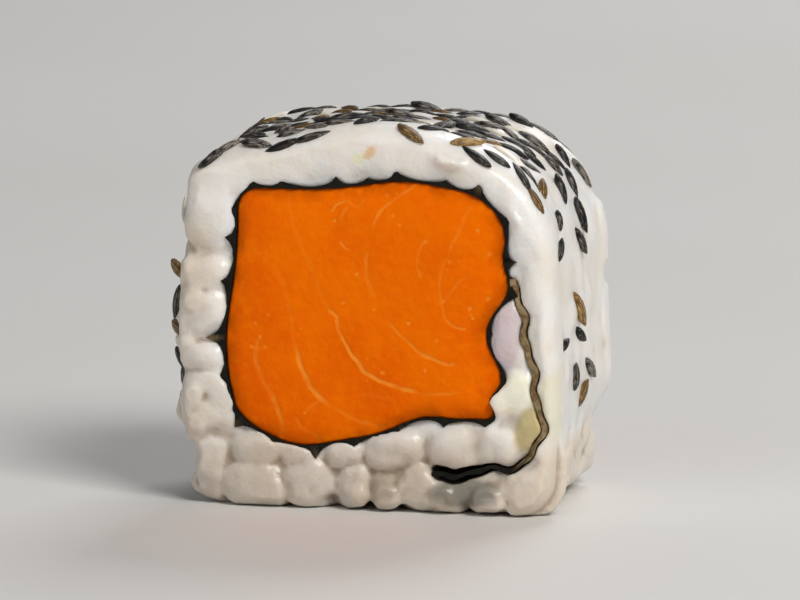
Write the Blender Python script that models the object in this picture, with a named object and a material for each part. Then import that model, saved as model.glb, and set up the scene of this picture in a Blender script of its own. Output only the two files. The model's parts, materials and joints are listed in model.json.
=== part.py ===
"""A piece of inside-out sushi roll: a salmon block in a nori sheet, inside sesame-coated rice.

X runs across the cut faces, Y along the roll and Z up. The front cut face looks along -Y, and the
piece rests on z = 0. Outlines are lists of (x, z) points that run counter-clockwise seen from the front.
"""

import math
import random

import bmesh
import bpy
import numpy as np
from mathutils import Matrix, Vector

MM = 0.001

# Driving sizes of the piece
LENGTH = 23.5 * MM  # between the cut faces
WIDTH = 37.0 * MM
SIDE_HEIGHT = 32.3 * MM  # to the shoulders of the pressed block
CROWN = 5.1 * MM  # rise of the top above its shoulders
CROWN_ROUND = 1.85  # 2 gives a parabola, and 1 a gable
SHOULDER = 18.0 * MM  # height where the crown starts to lift the sides
BACK_FALL = 1.2 * MM  # how much lower the middle of the crown lies at the back cut face
BACK_RISE = (2.1 * MM, 0.85 * MM)  # by how much less the left and right shoulders fall there
BACK_RISE_FROM = (2.0 * MM, 12.0 * MM)  # where that begins and is full, to both sides
BACK_LEAN = 1.5 * MM  # how far the foot of the right side draws in towards the back
BACK_LEAN_SIDE = (10.0 * MM, 18.0 * MM)
BACK_LEAN_FOOT = (12.0 * MM, 3.0 * MM)
RICE_CORNERS = (3.6 * MM, 3.6 * MM, 8.0 * MM, 2.6 * MM)  # bottom left, bottom right, top right, top left

# Salmon block inside
SALMON_LEFT = -12.3 * MM
SALMON_RIGHT = 13.9 * MM
SALMON_BOTTOM = 7.0 * MM
SALMON_TOP = 30.6 * MM
SALMON_CORNERS = (2.2 * MM, 2.0 * MM, 4.6 * MM, 2.0 * MM)
SALMON_DOME = 0.3 * MM  # swell of its cut faces
SALMON_INSET = 0.2 * MM  # of its cut faces behind the rice's

# Nori sheet, with the room that it leaves to the salmon and to the rice
NORI = 0.35 * MM
NORI_INSET = 0.15 * MM  # of its cut edges behind the rice's
GAP = 0.15 * MM
TAIL = 0.55 * MM  # thickness of the loose end
TAIL_START = (14.75 * MM, 22.9 * MM)
TAIL_CORNER = (18.35 * MM, 3.9 * MM)
TAIL_END = (7.6 * MM, 3.55 * MM)
TAIL_RADIUS = 4.2 * MM
TAIL_POINTS = 30

# Packed rice
FOOT = 1.0 * MM  # height below which it is pressed solid on its base
RIM = 0.55 * MM  # rounding of the edge round a cut face
LOOSE_SIDE = (13.0 * MM, 17.0 * MM)  # it loosens from here to here, going left,
LOOSE_TOP = (24.0 * MM, 32.0 * MM)  # less so from here to here, going up,
LOOSE_TOP_LOSS = 0.6
LOOSE_BASE = (7.0 * MM, 3.0 * MM)  # and again from here to here, going down

# Rice grains: length, width and thickness, and how they stand out of the packed rice
GRAIN = (6.3 * MM, 3.0 * MM, 2.6 * MM)
GRAIN_RELIEF = (0.35 * MM, 0.95 * MM)  # where the rice is tight, and where it is loose
GRAIN_SPREAD = 3.9 * MM  # between the middles of outer grains
GRAINS_IN_TIGHT = 0.35  # share of the outer grains that show where the rice is tight
CUT_RELIEF = 0.7 * MM  # of the grains at a cut face
CUT_GRAIN_PULL = 0.3 * MM  # of those grains towards the nori, and below the cut where the rice is tight
WIDE_BAND = 5.6 * MM  # thickness from which the rice shows two grains across it

# Sesame seeds: length, width and thickness, and where they lie
SEED = (3.6 * MM, 1.9 * MM, 0.95 * MM)
SEED_RIM = ((-0.5, 0.22), (-0.18, 0.5), (0.5, 0.0), (-0.18, -0.5), (-0.5, -0.22))  # shares of its size
SEED_CREST = -0.1  # place of its highest point along it
SEED_ROOT = 1.5 * MM  # how deep its hidden foot reaches
SEED_SINK = 0.06 * MM  # of its middle below the packed rice
SEED_SPREAD = 3.2 * MM
SEEDS_ON_SIDES = 0.22  # share of the places that are taken where few seeds stuck
SEED_FLOOR = 1.5 * MM  # no seeds below this height
CUT_MARGIN = 1.6 * MM  # bare rim beside a cut face

# Presses that turn the plain outlines into the hand-rolled ones: x, z, push in x, push in z, reach
RICE_PRESSES = (
    (19.0 * MM, 10.0 * MM, 0.4 * MM, 0.0, 6.0 * MM),
    (-18.5 * MM, 3.0 * MM, 1.6 * MM, 0.0, 4.2 * MM),
    (-18.5 * MM, 30.0 * MM, 0.6 * MM, 0.0, 7.0 * MM),
    (-9.0 * MM, 36.0 * MM, 0.0, -0.5 * MM, 4.0 * MM),
)
SALMON_PRESSES = (
    (13.9 * MM, 17.4 * MM, -2.0 * MM, 0.0, 3.15 * MM),
    (13.9 * MM, 10.0 * MM, -1.5 * MM, 0.0, 2.2 * MM),
    (13.9 * MM, 21.8 * MM, 0.45 * MM, 0.0, 1.6 * MM),
    (13.9 * MM, 24.6 * MM, -0.35 * MM, 0.0, 1.6 * MM),
    (6.3 * MM, 7.0 * MM, 0.0, 2.3 * MM, 4.4 * MM),
    (12.5 * MM, 7.5 * MM, -0.3 * MM, 2.0 * MM, 3.6 * MM),
    (-12.3 * MM, 15.5 * MM, -1.2 * MM, 0.0, 6.5 * MM),
    (-12.3 * MM, 7.0 * MM, 0.2 * MM, 1.1 * MM, 3.2 * MM),
    (-6.0 * MM, 7.0 * MM, 0.0, -0.8 * MM, 3.4 * MM),
    (4.0 * MM, 30.6 * MM, 0.0, 1.1 * MM, 5.5 * MM),
)

# Cusps of the sheet between the grains that dent it: x, z, and how far it stands out there
CUSPS = (
    (-9.1 * MM, 6.4 * MM, 0.4 * MM),
    (-4.8 * MM, 5.4 * MM, 1.2 * MM),
    (-0.8 * MM, 6.0 * MM, 0.7 * MM),
    (3.0 * MM, 8.2 * MM, 0.4 * MM),
    (7.9 * MM, 9.2 * MM, 0.7 * MM),
    (11.9 * MM, 9.5 * MM, 0.5 * MM),
    (13.6 * MM, 13.0 * MM, 0.5 * MM),
    (12.2 * MM, 17.6 * MM, 0.4 * MM),
    (14.9 * MM, 21.6 * MM, 0.9 * MM),
    (15.0 * MM, 24.4 * MM, 1.1 * MM),
    (14.3 * MM, 28.6 * MM, 0.8 * MM),
    (11.6 * MM, 31.6 * MM, 1.5 * MM),
    (7.9 * MM, 32.0 * MM, 0.5 * MM),
    (3.0 * MM, 32.4 * MM, 1.0 * MM),
    (0.4 * MM, 31.9 * MM, 0.4 * MM),
    (-2.8 * MM, 31.9 * MM, 0.9 * MM),
    (-7.9 * MM, 31.5 * MM, 0.8 * MM),
    (-10.9 * MM, 31.0 * MM, 0.6 * MM),
    (-12.9 * MM, 28.6 * MM, 0.6 * MM),
    (-13.4 * MM, 25.9 * MM, 1.0 * MM),
    (-13.9 * MM, 21.6 * MM, 1.0 * MM),
    (-14.6 * MM, 16.1 * MM, 1.8 * MM),
    (-13.9 * MM, 12.6 * MM, 0.8 * MM),
    (-12.3 * MM, 8.0 * MM, 1.2 * MM),
)

ARC_STEPS = 8
OUTLINE_POINTS = 120
SALMON_POINTS = 96


# Outlines


def rounded_block(left, right, bottom, top, radii):
    """Outline of a block with round corners."""
    corners = ((left, bottom, 180), (right, bottom, 270), (right, top, 0), (left, top, 90))
    points = []
    for (x, z, start), radius in zip(corners, radii):
        centre_x = x + radius if x == left else x - radius
        centre_z = z + radius if z == bottom else z - radius
        for step in range(ARC_STEPS + 1):
            angle = math.radians(start + 90 * step / ARC_STEPS)
            points.append((centre_x + radius * math.cos(angle), centre_z + radius * math.sin(angle)))
    return np.array(points)


def evenly(points, count):
    """The closed outline again, with count points at even steps."""
    closed = np.vstack([points, points[:1]])
    along = np.concatenate([[0.0], np.cumsum(np.linalg.norm(np.diff(closed, axis=0), axis=1))])
    at = np.linspace(0.0, along[-1], count, endpoint=False)
    return np.column_stack([np.interp(at, along, closed[:, axis]) for axis in (0, 1)])


def pressed(points, presses):
    """Pushes the outline in or out round each press, fading with distance."""
    moved = points.copy()
    for x, z, push_x, push_z, reach in presses:
        near = np.exp(-((points[:, 0] - x) ** 2 + (points[:, 1] - z) ** 2) / reach**2)
        moved += near[:, None] * np.array([push_x, push_z])
    return moved


def perimeter(points):
    """Length of a closed outline."""
    return float(np.linalg.norm(np.roll(points, -1, axis=0) - points, axis=1).sum())


def outward(points):
    """Unit normals of a closed outline, pointing out."""
    ahead = np.roll(points, -1, axis=0) - np.roll(points, 1, axis=0)
    ahead /= np.linalg.norm(ahead, axis=1)[:, None]
    return np.column_stack([ahead[:, 1], -ahead[:, 0]])


def ease(share):
    """Smooth step from 0 to 1."""
    share = np.clip(share, 0.0, 1.0)
    return share * share * (3.0 - 2.0 * share)


def between(value, ends):
    """Smooth step from 0 at the first end to 1 at the second."""
    start, stop = ends
    return ease((value - start) / (stop - start))


def rice_outline():
    """Outer outline of the piece: a pressed block with a crowned top and a flat base."""
    points = evenly(rounded_block(-WIDTH / 2, WIDTH / 2, 0.0, SIDE_HEIGHT, RICE_CORNERS), OUTLINE_POINTS)
    lift = between(points[:, 1], (SHOULDER, SIDE_HEIGHT))
    points[:, 1] += CROWN * (1.0 - np.abs(2.0 * points[:, 0] / WIDTH) ** CROWN_ROUND) * lift
    return evenly(pressed(points, RICE_PRESSES), OUTLINE_POINTS)


def looseness(x, z):
    """How loose the rice lies there: 1 down the left side and round the base, 0 where it is smooth."""
    left = between(-x, LOOSE_SIDE) * (1.0 - LOOSE_TOP_LOSS * between(z, LOOSE_TOP))
    return np.maximum(left, between(z, LOOSE_BASE))


def relief(x, z):
    """How far the outer grains stand out of the packed rice there."""
    tight, loose = GRAIN_RELIEF
    return tight + (loose - tight) * looseness(x, z)


def core_outline(inset=0.0):
    """The packed rice under the grains that stand out of it."""
    points = rice_outline()
    inside = points - outward(points) * (relief(points[:, 0], points[:, 1])[:, None] + inset)
    inside[points[:, 1] < FOOT, 1] = -FOOT
    return inside


def salmon_outline(count):
    """Outline of the salmon block, with the dents that the rice has pressed into it."""
    plain = rounded_block(SALMON_LEFT, SALMON_RIGHT, SALMON_BOTTOM, SALMON_TOP, SALMON_CORNERS)
    return evenly(pressed(evenly(plain, count), SALMON_PRESSES), count)


def cusp_places(salmon):
    """Where each cusp lies round the outline, as a share of its points, going up by more than a turn."""
    places = [float(np.argmin(np.linalg.norm(salmon - (x, z), axis=1))) / len(salmon) for x, z, _ in CUSPS]
    first = places.index(min(places))
    order = places[first:] + places[:first]
    depths = [cusp[2] for cusp in CUSPS]
    return order + [order[0] + 1.0], depths[first:] + depths[: first + 1]


def sheet_edge(count, room=0.0):
    """Outer edge of the nori round the salmon, dented by the grains that lie against it."""
    salmon = salmon_outline(count)
    places, depths = cusp_places(salmon)
    around = (np.arange(count) / count - places[0]) % 1.0 + places[0]
    dent = np.searchsorted(places, around, side="right") - 1
    places, depths = np.array(places), np.array(depths)
    share = (around - places[dent]) / (places[dent + 1] - places[dent])
    cusp = depths[dent] * (1 - share) + depths[dent + 1] * share
    depth = GAP + NORI + cusp * (1.0 - np.sin(math.pi * share)) + room
    return salmon + outward(salmon) * depth[:, None]


def tail_path():
    """Middle line of the sheet's loose end: down the right side, round the corner and under the salmon."""
    start, corner, end = (np.array(point) for point in (TAIL_START, TAIL_CORNER, TAIL_END))
    down = (start - corner) / np.linalg.norm(start - corner)
    along = (end - corner) / np.linalg.norm(end - corner)
    opening = math.acos(float(down @ along)) / 2
    run = TAIL_RADIUS / math.tan(opening)
    inner = (down + along) / np.linalg.norm(down + along)
    centre = corner + inner * TAIL_RADIUS / math.sin(opening)
    first, last = corner + down * run - centre, corner + along * run - centre
    swing = math.acos(float(first @ last) / TAIL_RADIUS**2)
    bend = [
        (first * math.sin(swing * (1 - t)) + last * math.sin(swing * t)) / math.sin(swing) + centre
        for t in np.linspace(0, 1, ARC_STEPS + 1)
    ]
    path = np.vstack([start, bend, end])
    along = np.concatenate([[0.0], np.cumsum(np.linalg.norm(np.diff(path, axis=0), axis=1))])
    at = np.linspace(0.0, along[-1], TAIL_POINTS)
    return np.column_stack([np.interp(at, along, path[:, axis]) for axis in (0, 1)])


def strip(path, width, extend=0.0):
    """Outline of a band of this width along an open path, made longer at its far end by extend."""
    path = path.copy()
    path[-1] += (path[-1] - path[-2]) / np.linalg.norm(path[-1] - path[-2]) * extend
    ahead = np.gradient(path, axis=0)
    ahead /= np.linalg.norm(ahead, axis=1)[:, None]
    side = np.column_stack([ahead[:, 1], -ahead[:, 0]]) * width / 2
    return np.vstack([path - side, (path + side)[::-1]])


# Solids


def new_object(name, mesh_data):
    """An object of a finished bmesh, with its faces pointing out."""
    mesh_data.normal_update()
    bmesh.ops.recalc_face_normals(mesh_data, faces=mesh_data.faces)
    mesh = bpy.data.meshes.new(name)
    mesh_data.to_mesh(mesh)
    mesh_data.free()
    made = bpy.data.objects.new(name, mesh)
    bpy.context.scene.collection.objects.link(made)
    return made


def lofted(name, loops):
    """A solid through closed loops of (x, y, z) points, with flat ends."""
    shape = bmesh.new()
    rings = [[shape.verts.new(point) for point in loop] for loop in loops]
    for near, far in zip(rings, rings[1:]):
        for index in range(len(near)):
            after = (index + 1) % len(near)
            shape.faces.new((near[index], near[after], far[after], far[index]))
    shape.faces.new(rings[0])
    shape.faces.new(rings[-1])
    return new_object(name, shape)


def prism(name, outline, half_length):
    """The outline, run along the roll from -half_length to half_length."""
    return lofted(name, [[(x, y, z) for x, z in outline] for y in (-half_length, half_length)])


def boolean(target, operation, others):
    """Applies one Boolean of all the others to the target, and removes them. EXACT is slow on the grains."""
    group = bpy.data.collections.new("operands")
    for other in others:
        bpy.context.scene.collection.objects.unlink(other)
        group.objects.link(other)
    bpy.context.scene.collection.children.link(group)
    modifier = target.modifiers.new("boolean", "BOOLEAN")
    modifier.operation = operation
    modifier.solver = "MANIFOLD"
    modifier.operand_type = "COLLECTION"
    modifier.collection = group
    graph = bpy.context.evaluated_depsgraph_get()
    result = bpy.data.meshes.new_from_object(target.evaluated_get(graph))
    target.modifiers.clear()
    target.data = result
    for other in list(group.objects):
        bpy.data.objects.remove(other)
    bpy.data.collections.remove(group)


def keep_largest(target):
    """Drops loose scraps and fills sealed hollows, so that the solid is one body."""
    shape = bmesh.new()
    shape.from_mesh(target.data)
    left = set(shape.faces)
    bodies = []
    while left:
        found = {left.pop()}
        front = list(found)
        while front:
            for edge in front.pop().edges:
                for face in edge.link_faces:
                    if face in left:
                        left.discard(face)
                        found.add(face)
                        front.append(face)
        bodies.append(found)
    bodies.sort(key=len)
    for body in bodies[:-1]:
        bmesh.ops.delete(shape, geom=list(body), context="FACES")
    shape.to_mesh(target.data)
    shape.free()


def painted(target, colour, roughness):
    """Gives the object its own plain material."""
    material = bpy.data.materials.new(target.name)
    material.use_nodes = True
    shader = material.node_tree.nodes["Principled BSDF"]
    shader.inputs["Base Color"].default_value = (*colour, 1.0)
    shader.inputs["Roughness"].default_value = roughness
    shader.inputs["Metallic"].default_value = 0.0
    target.data.materials.clear()
    target.data.materials.append(material)


# Grains and seeds


GRAIN_SIDES = 6


def lying(centre, long_way, up, size):
    """Matrix that gives a shape of size 1 this size and place, its length along long_way."""
    length, width, thickness = size
    long_way = long_way.normalized()
    across = up.cross(long_way).normalized()
    turn = Matrix((across, long_way.cross(across), long_way)).transposed().to_4x4()
    return Matrix.Translation(centre) @ turn @ Matrix.Diagonal((width, thickness, length, 1.0))


def grain_object(name, place, rings=4):
    """A grain of rice: an ellipsoid with few sides, a flat one of them up."""
    shape = bmesh.new()
    bmesh.ops.create_uvsphere(shape, u_segments=GRAIN_SIDES, v_segments=rings, radius=0.5)
    shape.transform(place @ Matrix.Rotation(math.pi / GRAIN_SIDES, 4, "Z"))
    return new_object(name, shape)


def seed_object(name, place):
    """A flat teardrop with a ridge, blunt behind and pointed in front, on a foot that sits in the rice."""
    shape = bmesh.new()
    edge = [shape.verts.new((across, 0.0, along)) for along, across in SEED_RIM]
    top = shape.verts.new((0.0, 0.5, SEED_CREST))
    foot = shape.verts.new((0.0, -SEED_ROOT / SEED[2], 0.0))
    for near, far in zip(edge, edge[1:] + edge[:1]):
        shape.faces.new((near, far, top))
        shape.faces.new((far, near, foot))
    shape.transform(place)
    return new_object(name, shape)


SHARP_BEND = math.radians(55)
SPREAD_FILL = 1.12
SPREAD_TRIES = 14


class Skin:
    """The piece's outer surface, unrolled: a distance round the outline and a place along the roll."""

    def __init__(self):
        self.outline = rice_outline()
        self.normals = outward(self.outline)
        self.around = perimeter(self.outline)

    def at(self, distance):
        """Point and outward normal of the outline at this distance round it."""
        exact = distance / self.around * len(self.outline)
        index = int(exact) % len(self.outline)
        share = exact - int(exact)
        after = (index + 1) % len(self.outline)
        point = self.outline[index] * (1 - share) + self.outline[after] * share
        normal = self.normals[index] * (1 - share) + self.normals[after] * share
        return point, normal / np.linalg.norm(normal)

    def direction(self, distance, span, draw):
        """Any direction along the skin, but along the roll where the outline bends within this span."""
        normal = self.at(distance)[1]
        before = self.at((distance - span / 2) % self.around)[1]
        behind = self.at((distance + span / 2) % self.around)[1]
        bend = min(1.0, math.acos(max(-1.0, min(1.0, float(before @ behind)))) / SHARP_BEND)
        angle = math.radians(draw.uniform(-90, 90)) * (1 - bend) + math.radians(90) * bend
        return Vector((-normal[1] * math.cos(angle), math.sin(angle), normal[0] * math.cos(angle)))

    def spread(self, spacing, half_length, draw):
        """Places all over the skin, roughly this far apart, as (distance round, place along)."""
        count = int(SPREAD_FILL * self.around * 2 * half_length / spacing**2)
        chosen = []
        for _ in range(count):
            best, best_gap = None, -1.0
            for _ in range(SPREAD_TRIES):
                spot = (draw.uniform(0, self.around), draw.uniform(-half_length, half_length))
                gap = min((self.apart(spot, other) for other in chosen), default=1.0)
                if gap > best_gap:
                    best, best_gap = spot, gap
            chosen.append(best)
        return chosen

    def apart(self, one, other):
        """Distance between two places on the skin."""
        round_it = abs(one[0] - other[0])
        return math.hypot(min(round_it, self.around - round_it), one[1] - other[1])


def outer_grains(skin):
    """Grains pressed flat into the rolled surface, inside the cut faces."""
    draw = random.Random(21)
    made = []
    for distance, y in skin.spread(GRAIN_SPREAD, (LENGTH - GRAIN[1]) / 2, draw):
        point, normal = skin.at(distance)
        showing = GRAINS_IN_TIGHT + (1 - GRAINS_IN_TIGHT) * float(looseness(*point))
        if point[1] < FOOT or draw.random() > showing:
            continue
        long_way = skin.direction(distance, GRAIN[0], draw)
        size = tuple(side * draw.uniform(0.88, 1.1) for side in GRAIN)
        reach = (size[0] * abs(long_way.y) + size[1] * math.sqrt(1 - long_way.y**2)) / 2
        most = max(0.0, LENGTH / 2 - CUT_RELIEF - reach)
        y = max(-most, min(most, y))
        out = Vector((normal[0], 0.0, normal[1]))
        depth = size[2] / 2 + draw.uniform(-0.15, 0.25) * MM
        centre = Vector((point[0], y, point[1])) - out * depth
        made.append(grain_object(f"grain_{len(made)}", lying(centre, long_way, out, size), rings=3))
    return made


def face_grains(skin):
    """Grains that end at a cut face: a chain along the nori, and a second one where the rice is thick."""
    made = []
    inner = sheet_edge(OUTLINE_POINTS, GAP)
    normals = outward(salmon_outline(OUTLINE_POINTS))
    ends = cusp_places(salmon_outline(OUTLINE_POINTS))[0]
    for side in (-1, 1):
        draw = random.Random(33 + side)
        face = Vector((0, side, 0))
        for start, stop in zip(ends, ends[1:]):
            middle = int((start + stop) / 2 * OUTLINE_POINTS) % OUTLINE_POINTS
            foot, way = inner[middle], normals[middle]
            band = thickness_of_band(skin, foot, way)
            tight = 1 - float(looseness(*(foot + way * band)))
            rows = 1 if band < WIDE_BAND else 2
            for row in range(rows):
                spot = foot + way * (band * (row + 0.5) / rows - CUT_GRAIN_PULL)
                lean = draw.uniform(-0.25, 0.25)
                long_way = Vector((way[0] - way[1] * lean, 0.0, way[1] + way[0] * lean))
                width = (stop - start) * perimeter(inner) * draw.uniform(1.07, 1.22)
                thick = GRAIN[1] * draw.uniform(0.95, 1.15)
                sunk = CUT_GRAIN_PULL * tight + draw.uniform(-0.1, 0.25) * MM
                centre = Vector((spot[0], side * (LENGTH / 2 - thick / 2 - sunk), spot[1]))
                size = (1.12 * band / rows + CUT_GRAIN_PULL, width, thick)
                made.append(grain_object(f"cut_{side}_{len(made)}", lying(centre, long_way, face, size)))
    return made


def thickness_of_band(skin, foot, way):
    """Thickness of the rice from a point on the nori outwards."""
    offsets = skin.outline - foot
    along = offsets @ way
    aside = np.abs(offsets @ np.array([-way[1], way[0]]))
    ahead = along > 0
    return float(along[ahead][np.argmin(aside[ahead])])


def seed_share(normal):
    """Share of the seed places that are taken: all on top, and fewer down the sides."""
    return SEEDS_ON_SIDES + (1 - SEEDS_ON_SIDES) * float(between(normal[1], (-0.3, 0.7)))


def seeds(skin):
    """Sesame seeds lying flat on the rolled surface."""
    draw = random.Random(5)
    made = []
    for distance, y in skin.spread(SEED_SPREAD, LENGTH / 2 - CUT_MARGIN, draw):
        point, normal = skin.at(distance)
        if point[1] < SEED_FLOOR or draw.random() > seed_share(normal):
            continue
        long_way = skin.direction(distance, SEED[0], draw)
        out = Vector((normal[0], 0.0, normal[1]))
        centre = Vector((point[0], y, point[1])) - out * (relief(*point) + SEED_SINK)
        size = tuple(side * draw.uniform(0.9, 1.1) for side in SEED)
        made.append(seed_object(f"seed_{len(made)}", lying(centre, long_way, out, size)))
    return made


# The three pieces


def make_salmon():
    """The block of fish, with softly swollen cut faces."""
    outline = salmon_outline(SALMON_POINTS)
    middle = outline.mean(axis=0)
    half = LENGTH / 2 - SALMON_INSET
    rings = [(share, rise * SALMON_DOME) for share, rise in ((0.35, 1), (0.75, 0.75), (0.96, 0.35), (1, -1))]
    front = [[(x, -half - rise, z) for x, z in middle + (outline - middle) * share] for share, rise in rings]
    back = [[(x, half + rise, z) for x, z in middle + (outline - middle) * share] for share, rise in rings]
    salmon = lofted("salmon", front + back[::-1])
    salmon.data.shade_smooth()
    salmon.data.set_sharp_from_angle(angle=math.radians(50))
    painted(salmon, (0.80, 0.14, 0.004), 0.35)
    return salmon


def make_nori():
    """The sheet round the salmon, and its loose end between two turns of rice."""
    half = LENGTH / 2 - NORI_INSET
    outer = prism("nori", sheet_edge(OUTLINE_POINTS), half)
    salmon = salmon_outline(OUTLINE_POINTS)
    hollow = prism("hollow", salmon + outward(salmon) * GAP, LENGTH)
    tail = prism("tail", strip(tail_path(), TAIL), half)
    boolean(outer, "UNION", [tail])
    boolean(outer, "DIFFERENCE", [hollow])
    keep_largest(outer)
    painted(outer, (0.012, 0.012, 0.006), 0.5)
    return outer


def make_rice():
    """The packed rice with the grains and seeds that show, cleared for the nori and the board."""
    skin = Skin()
    end = LENGTH / 2 - CUT_RELIEF
    rims = ((-end, RIM), (RIM - end, 0.0), (end - RIM, 0.0), (end, RIM))
    core = lofted("rice", [[(x, y, z) for x, z in core_outline(inset)] for y, inset in rims])
    boolean(core, "UNION", outer_grains(skin) + face_grains(skin) + seeds(skin))
    room = prism("room", sheet_edge(OUTLINE_POINTS, GAP), LENGTH)
    slot = prism("slot", strip(tail_path(), TAIL + 2 * GAP, GAP), LENGTH)
    board = prism("board", rounded_block(-WIDTH, WIDTH, -WIDTH, 0.0, (MM,) * 4), LENGTH)
    boolean(core, "DIFFERENCE", [room, slot, board])
    keep_largest(core)
    painted(core, (0.72, 0.66, 0.57), 0.45)
    return core


def sloped(piece):
    """Turns the even roll into the hand-pressed one: its crown and its foot change towards the back."""
    for vertex in piece.data.vertices:
        x, y, z = vertex.co
        back = y / LENGTH + 0.5
        left, right = (rise * float(between(side, BACK_RISE_FROM)) for rise, side in zip(BACK_RISE, (-x, x)))
        lift = float(between(z, (SHOULDER, SIDE_HEIGHT + CROWN)))
        vertex.co.z -= (BACK_FALL - left - right) * back * lift
        vertex.co.x -= BACK_LEAN * back * float(between(x, BACK_LEAN_SIDE) * between(z, BACK_LEAN_FOOT))
    return piece


def settle(pieces):
    """Moves all the pieces so that the whole stands on z = 0 with its middle over the origin."""
    corners = np.array([vertex.co for piece in pieces for vertex in piece.data.vertices])
    low, high = corners.min(axis=0), corners.max(axis=0)
    shift = Vector((-(low[0] + high[0]) / 2, -(low[1] + high[1]) / 2, -low[2]))
    for piece in pieces:
        piece.data.transform(Matrix.Translation(shift))


def main():
    for old in list(bpy.data.objects):
        bpy.data.objects.remove(old)
    settle([sloped(make_salmon()), sloped(make_nori()), sloped(make_rice())])


main()
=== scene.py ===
"""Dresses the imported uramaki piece: plump rice, a salmon block with fat lines, nori and sesame seeds.

Shapes are made in millimetres in the piece's design frame: X across the cut faces, Y along the roll
with the front cut face towards -Y, and Z up from the surface it rests on. They are then moved on to the
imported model. Outlines are lists of (x, z) points that run counter-clockwise seen from the front.
"""

import json
import math
import random

import bmesh
import bpy
import numpy as np
from bpy.props import FloatProperty, FloatVectorProperty, IntProperty, PointerProperty
from mathutils import Matrix, Quaternion, Vector
from mathutils.bvhtree import BVHTree

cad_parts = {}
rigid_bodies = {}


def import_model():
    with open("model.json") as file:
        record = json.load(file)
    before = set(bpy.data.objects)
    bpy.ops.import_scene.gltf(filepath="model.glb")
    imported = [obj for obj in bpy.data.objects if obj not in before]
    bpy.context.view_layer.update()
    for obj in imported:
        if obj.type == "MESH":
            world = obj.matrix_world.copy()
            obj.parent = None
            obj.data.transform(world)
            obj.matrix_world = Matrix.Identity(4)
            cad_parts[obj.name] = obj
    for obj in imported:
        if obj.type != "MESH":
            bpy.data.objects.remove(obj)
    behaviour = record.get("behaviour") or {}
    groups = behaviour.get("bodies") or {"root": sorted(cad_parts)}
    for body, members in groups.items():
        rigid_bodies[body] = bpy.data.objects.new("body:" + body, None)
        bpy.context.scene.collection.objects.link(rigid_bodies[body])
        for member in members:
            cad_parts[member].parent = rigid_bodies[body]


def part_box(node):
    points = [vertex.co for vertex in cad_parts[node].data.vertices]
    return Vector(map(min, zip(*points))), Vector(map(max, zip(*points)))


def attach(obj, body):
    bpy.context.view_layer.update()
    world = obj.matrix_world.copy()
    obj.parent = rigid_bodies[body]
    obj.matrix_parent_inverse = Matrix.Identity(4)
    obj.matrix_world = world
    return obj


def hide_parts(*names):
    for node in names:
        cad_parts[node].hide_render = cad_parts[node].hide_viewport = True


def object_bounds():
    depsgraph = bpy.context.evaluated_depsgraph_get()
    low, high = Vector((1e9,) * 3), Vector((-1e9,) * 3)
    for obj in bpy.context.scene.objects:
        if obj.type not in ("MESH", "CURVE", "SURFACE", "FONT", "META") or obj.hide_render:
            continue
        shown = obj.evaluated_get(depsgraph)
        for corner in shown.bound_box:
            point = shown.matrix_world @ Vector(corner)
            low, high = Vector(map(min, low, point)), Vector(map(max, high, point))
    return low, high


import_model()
PACKED_BOX = [list(corner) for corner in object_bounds()]

bl_info = {
    "name": "Uramaki Piece",
    "version": (1, 0, 0),
    "blender": (4, 5, 0),
    "location": "3D View > Sidebar > Uramaki",
    "description": "Rice, salmon, nori and sesame seeds of one piece of inside-out sushi roll",
    "category": "Object",
}

BODY = "root"
MM = 0.001

# Driving sizes in millimetres. Those of the loose end's path and of the loose rice are the scene's
# own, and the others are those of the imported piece.
LENGTH = 23.5  # between the cut faces
WIDTH = 37.0
SIDE_HEIGHT = 32.3  # to the shoulders of the pressed block
CROWN = 5.1  # rise of the top above its shoulders
CROWN_ROUND = 1.85  # 2 gives a parabola, and 1 a gable
SHOULDER = 18.0  # height where the crown starts to lift the sides
BACK_FALL = 1.2  # how much lower the middle of the crown lies at the back cut face
BACK_RISE = (2.1, 0.85)  # by how much less the left and right shoulders fall there
BACK_RISE_FROM = (2.0, 12.0)  # where that begins and is full, to both sides
BACK_LEAN = 1.5  # how far the foot of the right side draws in towards the back
BACK_LEAN_SIDE = (10.0, 18.0)
BACK_LEAN_FOOT = (12.0, 3.0)
RICE_CORNERS = (3.6, 3.6, 8.0, 2.6)  # bottom left, bottom right, top right, top left
SALMON_LEFT = -12.3
SALMON_RIGHT = 13.9
SALMON_BOTTOM = 7.0
SALMON_TOP = 30.6
SALMON_CORNERS = (2.2, 2.0, 4.6, 2.0)
SALMON_DOME = 0.3  # swell of its cut faces
SALMON_INSET = 0.2  # of its cut faces behind the rice's
PACKED_SALMON_POINTS = 96
NORI_INSET = 0.15  # of its cut edges behind the rice's
GAP = 0.15
TAIL = 0.55  # thickness of the sheet's loose end
TAIL_START = (14.75, 22.9)
TAIL_CORNER = (18.2, 5.3)
TAIL_END = (6.7, 3.6)
TAIL_RADIUS = 4.0
LOOSE_SIDE = (13.0, 17.0)  # the rice loosens from here to here, going left,
LOOSE_TOP = (24.0, 32.0)  # less so from here to here, going up,
LOOSE_TOP_LOSS = 0.6
LOOSE_BASE = (8.6, 4.6)  # and again from here to here, going down
WIDE_BAND = 5.6  # thickness from which the rice shows two grains across it

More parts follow.
